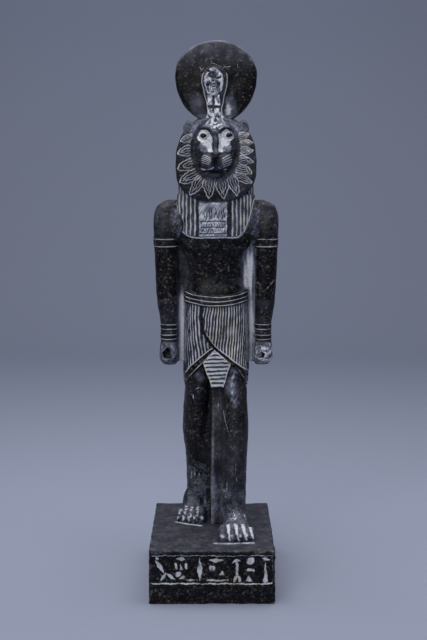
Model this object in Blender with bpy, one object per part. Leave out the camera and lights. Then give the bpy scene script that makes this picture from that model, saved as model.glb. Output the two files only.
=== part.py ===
"""Statuette of a striding lion-headed deity with a sun disc, carved with its plinth from one dark stone.

The front faces -Y, +Z is up and the origin is the centre of the plinth's underside.
The plinth and its sign panel have their own sizes in metres. The figure is a free form. Its
stations are written in millimetres at DRAWN_HEIGHT and follow FIGURE_HEIGHT as shares of it:
x from the figure's own axis, y from the plinth's centre and z from the top of the plinth.
"""
import math

import bmesh
import bpy
import numpy as np

MM = 0.001

# Plinth, with the sunk panel of signs on its front
PLINTH_WIDTH = 70.0 * MM
PLINTH_DEPTH = 98.0 * MM
PLINTH_HEIGHT = 30.5 * MM
PLINTH_EDGE = 1.0 * MM
PANEL_SIDE_MARGIN = 1.3 * MM
PANEL_TOP_MARGIN = 3.0 * MM
PANEL_HEIGHT = 15.9 * MM
PANEL_SINK = 0.5 * MM
SIGN_SINK = 0.5 * MM

# Figure, from the top of the plinth to the top of the sun disc
FIGURE_HEIGHT = 282.6 * MM
FIGURE_OFFSET = 2.4 * MM
DRAWN_HEIGHT = 282.6

# Slivers shorter than WELD are closed, and faces flatter than FLAT_WITHIN degrees are joined
WELD = 0.01 * MM
FLAT_WITHIN = 1.5

STONE_COLOUR = (0.012, 0.012, 0.015, 1.0)
STONE_ROUGHNESS = 0.38

# From here on everything is in drawn millimetres

# Relief of the carving
PLEAT_RELIEF = 0.35
BAND_RELIEF = 0.35
LOCK_RELIEF = 1.0
STRIPE_RELIEF = 0.4
FOLD_RELIEF = 0.5

# Level sections as (z, centre x, half width, front y, back y, squareness), 2 being an ellipse
REAR_LEG = [
    (-1.0, -11.4, 6.4, 23.5, 38.0, 2.4),
    (10.0, -11.2, 6.3, 23.0, 37.5, 2.4),
    (24.0, -11.4, 6.4, 20.5, 36.5, 2.4),
    (38.0, -11.4, 6.9, 17.0, 36.0, 2.3),
    (55.0, -11.9, 8.2, 13.0, 36.0, 2.3),
    (70.0, -11.6, 7.6, 9.0, 34.0, 2.3),
    (84.0, -10.6, 7.6, 7.0, 33.0, 2.3),
    (104.0, -10.0, 7.8, 6.5, 33.0, 2.3),
]
FORWARD_LEG = [
    (-1.0, 9.8, 7.6, -14.0, 1.2, 2.4),
    (10.0, 9.7, 7.6, -13.5, 2.0, 2.4),
    (24.0, 10.2, 7.3, -12.5, 4.0, 2.4),
    (38.0, 10.6, 7.3, -12.0, 8.0, 2.3),
    (58.0, 11.1, 7.8, -9.5, 13.0, 2.3),
    (74.0, 11.0, 7.3, -6.5, 14.0, 2.3),
    (81.0, 10.6, 7.4, -3.0, 16.5, 2.2),
    (90.0, 9.8, 7.0, 1.2, 22.0, 2.2),
    (102.0, 9.4, 7.2, 5.0, 24.0, 2.2),
]
TORSO = [
    (120.0, 0.0, 18.0, 4.5, 34.0, 2.6),
    (137.0, 0.0, 17.2, 6.6, 33.0, 2.6),
    (146.0, 0.0, 16.2, 8.2, 32.4, 2.6),
    (154.0, 0.0, 16.8, 7.6, 33.0, 2.6),
    (162.0, 0.0, 19.6, 6.4, 34.2, 2.6),
    (170.0, 0.0, 23.5, 5.6, 35.6, 2.6),
    (179.0, 0.0, 26.0, 7.0, 36.0, 2.6),
    (186.0, 0.0, 26.0, 10.5, 34.5, 2.6),
    (190.5, 0.0, 21.0, 13.5, 32.0, 2.6),
]
ARM = [
    (98.0, 27.8, 4.4, 10.5, 20.0, 2.4),
    (106.0, 27.8, 4.7, 9.4, 21.2, 2.4),
    (119.5, 27.8, 5.0, 9.0, 22.0, 2.4),
    (128.0, 28.2, 6.0, 8.6, 23.4, 2.4),
    (138.0, 28.6, 6.7, 8.4, 24.8, 2.4),
    (150.0, 28.9, 6.8, 8.6, 25.6, 2.4),
    (163.0, 29.3, 7.0, 8.6, 27.0, 2.4),
    (169.0, 29.3, 7.2, 8.4, 28.0, 2.4),
    (178.5, 28.8, 7.9, 9.4, 29.4, 2.4),
    (184.5, 28.0, 7.8, 11.4, 28.8, 2.4),
    (188.5, 27.0, 6.2, 13.6, 26.6, 2.4),
    (190.8, 25.4, 3.2, 16.0, 24.0, 2.4),
]
FIST = [
    (94.4, 27.2, 3.8, 9.2, 21.0, 2.6),
    (96.8, 27.6, 5.2, 7.2, 23.0, 2.8),
    (103.0, 27.8, 5.4, 6.6, 24.0, 2.8),
    (107.6, 27.8, 4.9, 8.0, 22.0, 2.6),
]
KILT = [
    (78.0, 0.0, 18.3, 3.0, 36.0, 2.9),
    (90.0, 0.0, 18.8, 2.6, 36.0, 2.9),
    (104.0, 0.0, 19.0, 2.8, 35.6, 2.9),
    (118.0, 0.0, 18.8, 3.8, 35.0, 2.8),
    (131.0, 0.0, 18.2, 5.4, 34.0, 2.7),
]
WIG = [
    (168.0, 0.0, 20.5, 20.0, 38.2, 2.8),
    (180.0, 0.0, 21.5, 14.0, 38.6, 2.7),
    (192.0, 0.0, 22.0, 10.0, 38.0, 2.5),
    (208.0, 0.0, 22.2, 9.0, 37.6, 2.4),
    (222.0, 0.0, 20.8, 9.0, 36.4, 2.3),
    (231.0, 0.0, 17.2, 10.0, 33.6, 2.2),
    (237.0, 0.0, 12.0, 12.5, 29.0, 2.1),
    (240.0, 0.0, 6.0, 15.5, 25.0, 2.0),
]
COBRA_HOOD = [
    (234.0, -0.3, 4.0, 2.5, 16.0, 2.2),
    (240.0, -0.6, 4.3, 5.0, 17.0, 2.4),
    (247.0, -0.8, 5.4, 8.0, 17.0, 2.6),
    (253.0, -0.8, 7.0, 9.4, 17.0, 2.8),
    (259.0, -0.8, 7.9, 9.8, 17.0, 2.8),
    (263.5, -0.8, 7.0, 9.8, 17.0, 2.6),
    (266.4, -0.8, 4.6, 10.2, 17.0, 2.4),
    (267.6, -0.8, 2.0, 11.0, 17.0, 2.2),
]
COBRA_BODY = [
    (232.0, -0.8, 1.5, -0.6, 15.0, 2.0),
    (240.0, -0.8, 1.5, 3.6, 15.0, 2.0),
    (248.0, -0.8, 1.5, 7.0, 15.0, 2.0),
    (258.0, -0.8, 1.5, 8.6, 15.0, 2.0),
    (263.0, -0.8, 1.5, 8.2, 15.0, 2.0),
]

# Rounded forms as (centre, radii, points round, points over); pairs are mirrored in x
COBRA_HEAD = ((-0.8, 9.4, 261.6), (2.7, 3.0, 3.4), 10, 6)
CHEST = ((10.5, 11.8, 166.5), (10.0, 5.0, 6.0), 10, 6)
SHOULDER = ((21.6, 14.6, 176.4), (8.4, 6.4, 10.4), 10, 6)
THUMB = ((25.0, 9.0, 101.0), (2.4, 5.0, 5.6), 8, 5)
EAR = ((15.8, 12.0, 232.2), (3.2, 3.2, 4.6), 8, 6)

# Face, as the height field of a domed skull: its middle (x, z), its half width and half height,
# the depth at its rim and how far its middle comes forward, and the facets across and over it
FACE_MIDDLE = (-0.4, 219.4)
FACE_HALF = (12.1, 15.8)
FACE_RIM = 3.5
FACE_DOME = 5.5
FACE_SQUARENESS = 2.4
FACE_BACK = 12.0
FACE_COLUMNS, FACE_ROWS = 22, 21
# Its forms, as (x, z, half width, half height, rise), the pairs mirrored in x
FACE_FORMS = {
    "muzzle": (-0.2, 212.8, 9.8, 8.0, 5.0),
    "nose bridge": (-0.2, 225.0, 3.4, 11.5, 3.4),
    "nose tip": (-0.2, 216.8, 4.2, 2.8, 2.2),
    "groove under the nose": (-0.2, 212.0, 1.3, 3.8, -1.4),
    "mouth": (-0.4, 207.9, 6.8, 1.6, -2.8),
    "lower lip": (-0.4, 205.6, 5.8, 2.6, 2.8),
}
FACE_PAIRS = {
    "whisker pad": (5.0, 213.2, 4.9, 4.9, 2.4),
    "brow": (7.2, 231.8, 5.8, 2.6, 2.8),
    "eye socket": (7.4, 228.0, 5.0, 3.8, -1.8),
    "eyeball": (7.4, 228.0, 3.4, 2.6, 3.6),
    "cheek": (8.4, 220.5, 4.8, 6.4, 1.4),
}

# Feet as (toe y, heel y, inner x, outer x), and their length as (share, width share, height)
REAR_FOOT = (2.5, 39.0, -6.0, -23.5)
FORWARD_FOOT = (-34.9, 1.6, 0.6, 22.2)
FOOT_PROFILE = [
    (0.10, 0.90, 4.6),
    (0.22, 0.94, 6.6),
    (0.38, 0.88, 9.0),
    (0.54, 0.76, 12.5),
    (0.70, 0.68, 16.5),
    (0.90, 0.62, 14.0),
    (1.00, 0.42, 9.0),
]
FOOT_SINK = 1.0
TOE_SHARES = (0.29, 0.21, 0.19, 0.17, 0.14)
BIG_TOE = (8.6, 6.2)
TOE_SHORTER = 0.4
TOE_SET_BACK = 0.16
TOE_HEIGHT = 1.6

# Stone left between the limbs, and the pillar up the back, as two corners of a block
LEG_WEB = ((-7.3, 15.2, -0.8), (5.3, 36.7, 98.7))
BACK_PILLAR = ((-10.0, 31.0, -0.6), (10.0, 44.5, 176.0))
ARM_WEB = ((14.0, 17.3, 95.2), (26.3, 24.7, 165.3))
# Stone behind the forward leg: its two sides, its back, and its front at three heights
CALF_WEB_SIDES = (-3.0, 9.2)
CALF_WEB_BACK = 35.4
CALF_WEB_FRONT = ((-0.7, 2.4), (40.0, -1.0), (97.4, 8.2))

# Wrap kilt: pleats, the lower edges of its two flaps, and how far the shells are kept
PLEAT_COUNT = 39
PLEAT_LEAN = 0.1
FLAP_THICKNESS = 0.8
KILT_REACH = 30.0
KILT_SIDE = 18.0
KILT_BACK_HEM = 81.0
KILT_CORE_INSET = 1.0
KILT_CORE_FROM = 100.0
UNDER_HEM = [(-20.6, 80.6), (-17.4, 84.2), (-14.1, 89.6), (-9.4, 95.4), (-4.0, 100.2), (1.0, 103.6)]
UNDER_FLAP_INNER = 8.0
OVER_EDGE = [(-8.0, 132.0), (-7.4, 117.0), (-4.6, 110.0), (0.2, 104.6), (5.8, 99.4)]
OVER_HEM = ((3.0, 80.0), (17.5, 18.5), 62.0, 8.0)

# How the forward thigh presses the kilt out: the middle and half width of the push, its reach,
# the heights of full and of no push, and the depths of none and of all of it
THIGH_PUSH = (12.5, 9.5, 5.5)
THIGH_PUSH_HEIGHTS = (84.0, 112.0)
THIGH_PUSH_DEPTHS = (19.0, 13.0)

# Apron between the flaps, in level folds: widest at its shoulder, drawn in above and below
APRON_FOLDS = 7
APRON_MIDDLE = 1.6
APRON_LOW, APRON_TOP = 83.1, 103.0
APRON_SHOULDER = 0.7
APRON_HALF_WIDTHS = (3.7, 8.5, 2.3)
APRON_FRONTS = (0.4, 1.6)
APRON_BACK = 14.0

# Grooved bands, as (height of the middle, height of the band, ridges, stand)
ARMLET = (166.2, 4.6, 2, 0.3)
BRACELETS = [(116.8, 3.2, 2, 0.3), (110.7, 3.0, 2, 0.3)]
BELT = (133.2, 8.4, 3, 1.7)

# Rod in each fist, as its centre, radius, the arc its eight corners take, and its ends
ROD_CENTRE = (27.8, 101.2)
ROD_RADIUS = 2.7
ROD_ARC = (5.0, 320.0)
ROD_ENDS = (5.2, 25.6)

# Striped fall of the wig over the chest, and the rows of strokes on its plain square, as
# (low, high, count, width as a share of the pitch)
FALL_STRIPES = 6
STRIPE_PITCH = 2.22
SQUARE_HALF = 8.6
FALL_FRONT = 4.6
FALL_BACK = 16.0
FALL_CROWN = 0.0105
FALL_ENDS = (168.0, 194.0)
FALL_SIDE = [(22.0, 194.0), (21.8, 186.0), (19.8, 177.5)]
FALL_CORNER = ((12.6, 173.4), (4.8, 4.2), 10.0, -90.0)
STROKE_REACH = 7.4
STROKE_FRONT = 4.1
STROKE_ROOT = 8.0
STROKE_ROWS = [
    (180.6, 186.6, 6, 0.42),
    (176.6, 178.2, 4, 0.70),
    (172.4, 174.6, 7, 0.45),
]

# Mane: half width, height of its middle, reach above and below it, depth of its domed front
MANE_HALF = 23.3
MANE_MIDDLE = 210.0
MANE_ABOVE = 28.0
MANE_BELOW = 20.0
MANE_SQUARENESS = 2.5
MANE_FRONT = 0.6
MANE_DOME = 3.2
MANE_SIDE = ((1.0, 16.0), (1.0, 6.0), (0.97, 4.2))
MANE_FACE = (0.86, 0.62, 0.40)
# Its locks run from one angle from the top to another, and each has the shares of the outline
# at its root, widest place and tip
LOCK_COUNT = 14
LOCKS_FROM, LOCKS_TO = 40.0, 320.0
LOCK_SHARES = (0.46, 0.72, 0.94)
LOCK_OVERLAP = 1.08
LOCK_ROOT_WIDTH = 0.55
LOCK_DEPTH = 2.4
LOCK_RIM_LIFT = 0.2

# Sun disc: half width, middle, reach above and below it, and (share of the outline, y)
DISC_HALF = 23.7
DISC_MIDDLE = 262.4
DISC_ABOVE = 20.2
DISC_BELOW = 27.4
DISC_LEVELS = ((0.5, 13.6), (0.93, 14.4), (1.0, 16.2), (1.0, 18.8), (0.93, 20.6), (0.5, 21.4))


def world(x, y, z):
    """A point of the figure, from drawn millimetres to metres on the plinth."""
    k = FIGURE_HEIGHT / DRAWN_HEIGHT
    return (FIGURE_OFFSET + k * x, k * y, PLINTH_HEIGHT + k * z)


def empty_scene():
    for obj in list(bpy.data.objects):
        bpy.data.objects.remove(obj, do_unlink=True)


def link(name, bm):
    """Finish a bmesh as an object with outward faces."""
    bm.normal_update()
    bmesh.ops.recalc_face_normals(bm, faces=bm.faces)
    mesh = bpy.data.meshes.new(name)
    bm.to_mesh(mesh)
    bm.free()
    obj = bpy.data.objects.new(name, mesh)
    bpy.context.collection.objects.link(obj)
    return obj


def between(stations, z):
    """The section at height z, straight between the two stations around it."""
    table = np.array(stations)
    return [z] + [float(np.interp(z, table[:, 0], column)) for column in table[:, 1:].T]


def swollen(station, by):
    """A station with its outline moved out by a distance."""
    z, centre, half, front, back, power = station
    return (z, centre, half + by, front - by, back + by, power)


def ring(station, count, shift=0.0, ripple=0.0):
    """A level ring of evenly spaced points on a superellipse, anticlockwise from +X.

    shift turns the points round by parts of one spacing, and ripple pushes every second
    point out and the others in, which makes flutes.
    """
    z, centre, half, front, back, power = station
    angle = np.linspace(0.0, 2.0 * math.pi, 361)
    cos, sin = np.cos(angle), np.sin(angle)
    x = centre + half * np.sign(cos) * np.abs(cos) ** (2.0 / power)
    y = (front + back) / 2 + (back - front) / 2 * np.sign(sin) * np.abs(sin) ** (2.0 / power)
    run = np.concatenate(([0.0], np.cumsum(np.hypot(np.diff(x), np.diff(y)))))
    at = (np.arange(count) + shift) / count % 1.0 * run[-1]
    px, py = np.interp(at, run, x), np.interp(at, run, y)
    if ripple:
        along = np.stack((np.roll(px, -1) - np.roll(px, 1), np.roll(py, -1) - np.roll(py, 1)))
        along /= np.hypot(along[0], along[1])
        push = np.where(np.arange(count) % 2 == 0, ripple, -ripple)
        px, py = px + along[1] * push, py - along[0] * push
    return [(float(a), float(b), z) for a, b in zip(px, py)]


def loft(name, rings):
    """A closed skin over rings of equal count, flat at both ends."""
    bm = bmesh.new()
    loops = [[bm.verts.new(world(*point)) for point in points] for points in rings]
    count = len(loops[0])
    for low, high in zip(loops, loops[1:]):
        for i in range(count):
            j = (i + 1) % count
            bm.faces.new((low[i], low[j], high[j], high[i]))
    bm.faces.new(list(reversed(loops[0])))
    bm.faces.new(loops[-1])
    return link(name, bm)


def ellipsoid(name, shape, side=1):
    """A rounded form (centre, radii, points round, points over), mirrored where side is -1."""
    centre, radii, segments, rings = shape
    bm = bmesh.new()
    bmesh.ops.create_uvsphere(bm, u_segments=segments, v_segments=rings, radius=1.0)
    for vert in bm.verts:
        x, y, z = (c + r * p for c, r, p in zip(centre, radii, vert.co))
        vert.co = world(side * x, y, z)
    return link(name, bm)


def prism(name, outline, near, far, place=world):
    """A flat outline of (x, z) points, extruded along y from near to far."""
    bm = bmesh.new()
    face = bm.faces.new([bm.verts.new(place(x, near, z)) for x, z in outline])
    spread = bmesh.ops.extrude_face_region(bm, geom=[face])
    depth = place(0.0, far, 0.0)[1] - place(0.0, near, 0.0)[1]
    moved = [item for item in spread["geom"] if isinstance(item, bmesh.types.BMVert)]
    bmesh.ops.translate(bm, verts=moved, vec=(0.0, depth, 0.0))
    return link(name, bm)


def rectangle(left, low, right, high):
    return [(left, low), (right, low), (right, high), (left, high)]


def block(name, corners, side=1):
    """A box between two corners, mirrored in x where side is -1."""
    low, high = corners
    return prism(name, rectangle(side * low[0], low[2], side * high[0], high[2]), low[1], high[1])


def arc_points(arc, count):
    """Points on an ellipse's arc (centre, radii, start, stop), with angles in degrees from +x."""
    centre, radii, start, stop = arc
    angles = [math.radians(start + (stop - start) * i / (count - 1)) for i in range(count)]
    return [(centre[0] + radii[0] * math.cos(a), centre[1] + radii[1] * math.sin(a)) for a in angles]


def combine(base, others, operation="UNION", solver="MANIFOLD"):
    """Boolean each of the others into base, and keep base alone.

    The figure's many facets nearly meet along the pleats, locks and toes, where the exact
    solver leaves edges with four faces, so the figure is joined with the manifold one.
    """
    for other in others:
        cut = base.modifiers.new(operation.title(), "BOOLEAN")
        cut.operation = operation
        cut.solver = solver
        cut.object = other
        evaluated = base.evaluated_get(bpy.context.evaluated_depsgraph_get())
        mesh = bpy.data.meshes.new_from_object(evaluated)
        base.modifiers.clear()
        base.data = mesh
        bpy.data.objects.remove(other, do_unlink=True)
    return base


# Plinth

STROKE = [(-1, -1), (1, -1), (1, 1), (-1, 1)]
LOZENGE = [(-1, 0), (0, -1), (1, 0), (0, 1)]
WEDGE = [(-1, -1), (1, -1), (0.15, 1), (-0.15, 1)]
ROUND = [(math.cos(i * math.pi / 4), math.sin(i * math.pi / 4)) for i in range(8)]

# Marks on the panel as (share across, share up, width, height, lean in degrees, outline), the
# sizes in panel heights: plain strokes, lozenges, rounds and wedges that spell nothing
MARKS = [
    (0.075, 0.60, 0.11, 0.62, -34, STROKE),
    (0.105, 0.24, 0.09, 0.36, 38, STROKE),
    (0.160, 0.26, 0.09, 0.34, -58, STROKE),
    (0.245, 0.86, 0.36, 0.15, 0, LOZENGE),
    (0.205, 0.60, 0.09, 0.20, 0, STROKE),
    (0.245, 0.60, 0.09, 0.20, 0, STROKE),
    (0.285, 0.60, 0.09, 0.20, 0, STROKE),
    (0.255, 0.32, 0.09, 0.30, -40, STROKE),
    (0.310, 0.20, 0.36, 0.09, 6, STROKE),
    (0.400, 0.48, 0.18, 0.86, 0, LOZENGE),
    (0.535, 0.84, 0.58, 0.15, 0, LOZENGE),
    (0.500, 0.56, 0.24, 0.24, 0, ROUND),
    (0.580, 0.38, 0.22, 0.16, 0, WEDGE),
    (0.545, 0.12, 0.80, 0.07, 0, STROKE),
    (0.700, 0.82, 0.36, 0.12, -8, WEDGE),
    (0.705, 0.52, 0.09, 0.46, 0, STROKE),
    (0.690, 0.17, 0.10, 0.24, 14, STROKE),
    (0.725, 0.17, 0.10, 0.24, -14, STROKE),
    (0.815, 0.80, 0.27, 0.27, 0, ROUND),
    (0.815, 0.48, 0.28, 0.10, 0, STROKE),
    (0.805, 0.18, 0.28, 0.18, 0, WEDGE),
    (0.935, 0.84, 0.34, 0.08, 10, STROKE),
    (0.940, 0.40, 0.18, 0.72, 0, WEDGE),
]


def panel_place(x, y, z):
    """A point of the sign panel in metres, from shares across and up and a depth y."""
    left = -PLINTH_WIDTH / 2 + PANEL_SIDE_MARGIN
    low = PLINTH_HEIGHT - PANEL_TOP_MARGIN - PANEL_HEIGHT
    width = PLINTH_WIDTH - 2 * PANEL_SIDE_MARGIN
    return (left + x * width, -PLINTH_DEPTH / 2 + y, low + z * PANEL_HEIGHT)


def mark_outline(x, z, width, height, lean, corners):
    """A mark's corners in shares of the panel, leaning clockwise about its middle."""
    aspect = PANEL_HEIGHT / (PLINTH_WIDTH - 2 * PANEL_SIDE_MARGIN)
    turn = math.radians(lean)
    points = []
    for u, v in corners:
        across, up = u * width / 2, v * height / 2
        right = across * math.cos(turn) + up * math.sin(turn)
        rise = up * math.cos(turn) - across * math.sin(turn)
        points.append((x + right * aspect, z + rise))
    return points


def make_plinth():
    """The block under the feet, its edges eased, with the sunk panel and its marks."""
    bm = bmesh.new()
    bmesh.ops.create_cube(bm, size=1.0)
    bmesh.ops.scale(bm, vec=(PLINTH_WIDTH, PLINTH_DEPTH, PLINTH_HEIGHT), verts=bm.verts)
    bmesh.ops.translate(bm, vec=(0.0, 0.0, PLINTH_HEIGHT / 2), verts=bm.verts)
    eased = [edge for edge in bm.edges if max(v.co.z for v in edge.verts) > PLINTH_HEIGHT / 2]
    bmesh.ops.bevel(bm, geom=eased, offset=PLINTH_EDGE, segments=2, affect="EDGES", profile=0.5)
    plinth = link("statue", bm)
    panel = prism("panel", rectangle(0, 0, 1, 1), -PANEL_SINK, PANEL_SINK, panel_place)
    combine(plinth, [panel], "DIFFERENCE", "EXACT")
    deep = PANEL_SINK + SIGN_SINK
    marks = [prism("mark", mark_outline(*mark), -deep, deep, panel_place) for mark in MARKS]
    return combine(plinth, marks, "DIFFERENCE", "EXACT")


# Legs, feet and the stone left round them

def make_foot(toe_y, heel_y, inner, outer):
    """A foot along y, flat below, with its toes from the inner big toe to the outer one."""
    length = heel_y - toe_y
    middle = (inner + outer) / 2
    half = abs(outer - inner) / 2
    rings = []
    for share, wide, high in FOOT_PROFILE:
        y = toe_y + share * length
        reach = half * wide
        dome = arc_points(((middle, 0.0), (reach, high), 0.0, 180.0), 8)
        outline = dome + [(middle - reach, -FOOT_SINK), (middle + reach, -FOOT_SINK)]
        rings.append([(x, y, z) for x, z in outline])
    toes = []
    edge = inner
    for i, share in enumerate(TOE_SHARES):
        width = share * (outer - inner)
        radii = (0.54 * abs(width), BIG_TOE[0] - TOE_SHORTER * i, BIG_TOE[1] - TOE_SHORTER * i)
        centre = (edge + width / 2, toe_y + radii[1] + TOE_SET_BACK * i * i, TOE_HEIGHT)
        toes.append(ellipsoid("toe", (centre, radii, 7, 5)))
        edge += width
    return combine(loft("foot", rings), toes)


def make_legs():
    """Both legs and feet, the stone left between and behind them, and the back pillar."""
    legs = [loft("leg", [ring(station, 14) for station in leg]) for leg in (REAR_LEG, FORWARD_LEG)]
    feet = [make_foot(*foot) for foot in (REAR_FOOT, FORWARD_FOOT)]
    left, right = CALF_WEB_SIDES
    calf_web = loft("calf web", [
        [(left, front, z), (right, front, z), (right, CALF_WEB_BACK, z), (left, CALF_WEB_BACK, z)]
        for z, front in CALF_WEB_FRONT])
    webs = [block("leg web", LEG_WEB), calf_web, block("back pillar", BACK_PILLAR)]
    return combine(legs[0], [legs[1]] + feet + webs)


# Kilt, apron and torso

def over_thigh(points):
    """Points of the kilt moved forward where the forward thigh presses it out."""
    middle, half, reach = THIGH_PUSH
    moved = []
    for x, y, z in points:
        share = float(np.interp(z, THIGH_PUSH_HEIGHTS, (1.0, 0.0)))
        share *= float(np.interp(-y, [-depth for depth in THIGH_PUSH_DEPTHS], (0.0, 1.0)))
        moved.append((x, y - reach * share * max(0.0, 1.0 - ((x - middle) / half) ** 2), z))
    return moved


def kilt_shell(name, lean, grow):
    """The pleated wrap as a fluted loft, its flutes leaning with height."""
    bottom = KILT[0][0]
    rings = [ring(swollen(station, grow), 2 * PLEAT_COUNT, lean * (station[0] - bottom), PLEAT_RELIEF)
             for station in KILT]
    return loft(name, [over_thigh(points) for points in rings])


def make_kilt():
    """The wrap kilt: the flap on the figure's right below, the other one over it.

    Each flap is the pleated shell kept inside an outline, seen from the front, whose lower
    edge is a curve from the side seam up to the middle.
    """
    waist = KILT[-1][0] + 1.0
    inner = [(UNDER_FLAP_INNER, KILT_CORE_FROM), (UNDER_FLAP_INNER, waist)]
    under_outline = [(-KILT_REACH, UNDER_HEM[0][1])] + UNDER_HEM + inner + [(-KILT_REACH, waist)]
    side_edge = arc_points(OVER_HEM, 5)
    over_outline = OVER_EDGE + side_edge + [(KILT_REACH, side_edge[-1][1]), (KILT_REACH, waist)]

    under = kilt_shell("under flap", PLEAT_LEAN, 0.0)
    over = kilt_shell("over flap", -PLEAT_LEAN, FLAP_THICKNESS)
    for flap, outline in ((under, under_outline), (over, over_outline)):
        combine(flap, [prism("outline", outline, -KILT_REACH, KILT_SIDE + 2.0)], "INTERSECT")
    back = kilt_shell("kilt back", 0.0, FLAP_THICKNESS / 2)
    half = ((-KILT_REACH, KILT_SIDE, KILT_BACK_HEM), (KILT_REACH, 2 * KILT_REACH, waist))
    combine(back, [block("back half", half)], "INTERSECT")

    core = [swollen(station, -KILT_CORE_INSET) for station in KILT if station[0] > KILT_CORE_FROM]
    kilt = loft("kilt core", [ring(station, 32) for station in core])
    return combine(kilt, [under, over, back, make_apron()])


def make_apron():
    """The tapered apron that hangs between the flaps, in level folds."""
    rings = []
    for i in range(2 * APRON_FOLDS + 1):
        share = i / (2 * APRON_FOLDS)
        z = APRON_LOW + (APRON_TOP - APRON_LOW) * share
        half = float(np.interp(share, (0.0, APRON_SHOULDER, 1.0), APRON_HALF_WIDTHS))
        front = float(np.interp(share, (0.0, 1.0), APRON_FRONTS)) + FOLD_RELIEF * (1 - i % 2)
        left, right = APRON_MIDDLE - half, APRON_MIDDLE + half
        rings.append([(left, front, z), (right, front, z), (right, APRON_BACK, z), (left, APRON_BACK, z)])
    return loft("apron", rings)


def banded_rings(stations, bands, count):
    """Rings of a limb with grooved bands round it, each as (middle, height, ridges, stand).

    A band takes the place of the stations it covers: its levels go out at each ridge and in
    beside it, and it stands a little proud of the limb.
    """
    levels = [tuple(station) for station in stations
              if all(abs(station[0] - band[0]) > 0.6 * band[1] for band in bands)]
    for middle, height, ridges, stand in bands:
        for i in range(2 * ridges + 1):
            z = middle - height / 2 + height * i / (2 * ridges)
            out = stand + (BAND_RELIEF if i % 2 else -BAND_RELIEF)
            levels.append(swollen(between(stations, z), out))
        if stand > BAND_RELIEF:
            levels += [tuple(between(stations, middle + side * height * 0.54)) for side in (-1, 1)]
    return [ring(level, count) for level in sorted(levels)]


def make_torso():
    """Chest, shoulders, waist and the three-ridged belt."""
    torso = loft("torso", banded_rings(TORSO, [BELT], 26))
    forms = [ellipsoid("muscle", shape, side) for shape in (CHEST, SHOULDER) for side in (-1, 1)]
    return combine(torso, forms)


# Arms

def mirrored(rings, side):
    """Rings for the figure's other side, with their order turned so that faces stay out."""
    if side > 0:
        return rings
    return [[(-x, y, z) for x, y, z in reversed(points)] for points in rings]


def make_arm(side):
    """A hanging arm with armlet, bracelets and the fist closed round a short rod."""
    arm = loft("arm", mirrored(banded_rings(ARM, [ARMLET] + BRACELETS, 14), side))
    fist = loft("fist", mirrored([ring(level, 12) for level in FIST], side))
    centre = (side * ROD_CENTRE[0], ROD_CENTRE[1])
    rod = prism("rod", arc_points((centre, (ROD_RADIUS, ROD_RADIUS), *ROD_ARC), 8), *ROD_ENDS)
    web = block("arm web", ARM_WEB, side)
    return combine(arm, [fist, ellipsoid("thumb", THUMB, side), rod, web])


# Wig, mane and face

def make_fall():
    """The wig's striped front fall over the chest, flat across its plain square."""
    edges = [SQUARE_HALF + STRIPE_PITCH * i / 2 for i in range(2 * FALL_STRIPES + 1)]
    half = [(x, STRIPE_RELIEF if i % 2 else 0.0) for i, x in enumerate(edges)]
    across = [(-x, relief) for x, relief in reversed(half)] + half
    section = [(x, FALL_FRONT + FALL_CROWN * x * x + relief) for x, relief in across]
    section += [(edges[-1], FALL_BACK), (-edges[-1], FALL_BACK)]
    fall = loft("fall", [[(x, y, z) for x, y in section] for z in FALL_ENDS])
    outline = FALL_SIDE + arc_points(FALL_CORNER, 5)
    outline += [(-x, z) for x, z in reversed(outline)]
    return combine(fall, [prism("outline", outline, -KILT_REACH, KILT_REACH)], "INTERSECT")


def make_strokes():
    """Three rows of separate shallow strokes on the plain square, which spell nothing."""
    bars = []
    for low, high, count, wide in STROKE_ROWS:
        pitch = 2 * STROKE_REACH / count
        for i in range(count):
            x = -STROKE_REACH + pitch * (i + 0.5)
            half = wide * pitch / 2
            top = high - 0.3 * (high - low) * (i % 2)
            bars.append(prism("stroke", rectangle(x - half, low, x + half, top), STROKE_FRONT, STROKE_ROOT))
    return bars


def mane_point(angle, share):
    """A point of the mane's front outline, angle in degrees from the top, scaled by share."""
    turn = math.radians(angle)
    across, up = math.sin(turn), math.cos(turn)
    reach = MANE_ABOVE if up > 0 else MANE_BELOW
    x = MANE_HALF * share * math.copysign(abs(across) ** (2 / MANE_SQUARENESS), across)
    z = reach * share * math.copysign(abs(up) ** (2 / MANE_SQUARENESS), up)
    return x, MANE_MIDDLE + z


def mane_front(share):
    """Depth of the mane's domed front at a share of its outline."""
    return MANE_FRONT + MANE_DOME * share ** 3


def make_mane():
    """The ruff round the face: a domed shield with a row of leaf-shaped locks."""
    rings = []
    for share, y in MANE_SIDE + tuple((share, mane_front(share)) for share in MANE_FACE):
        points = [mane_point(360.0 * i / 32, share) for i in range(32)]
        rings.append([(x, y, z) for x, z in points])
    spacing = (LOCKS_TO - LOCKS_FROM) / LOCK_COUNT
    spread = spacing / 2 * LOCK_OVERLAP
    locks = [make_lock(LOCKS_FROM + spacing * (i + 0.5), spread) for i in range(LOCK_COUNT)]
    return combine(loft("mane", rings), locks)


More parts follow.
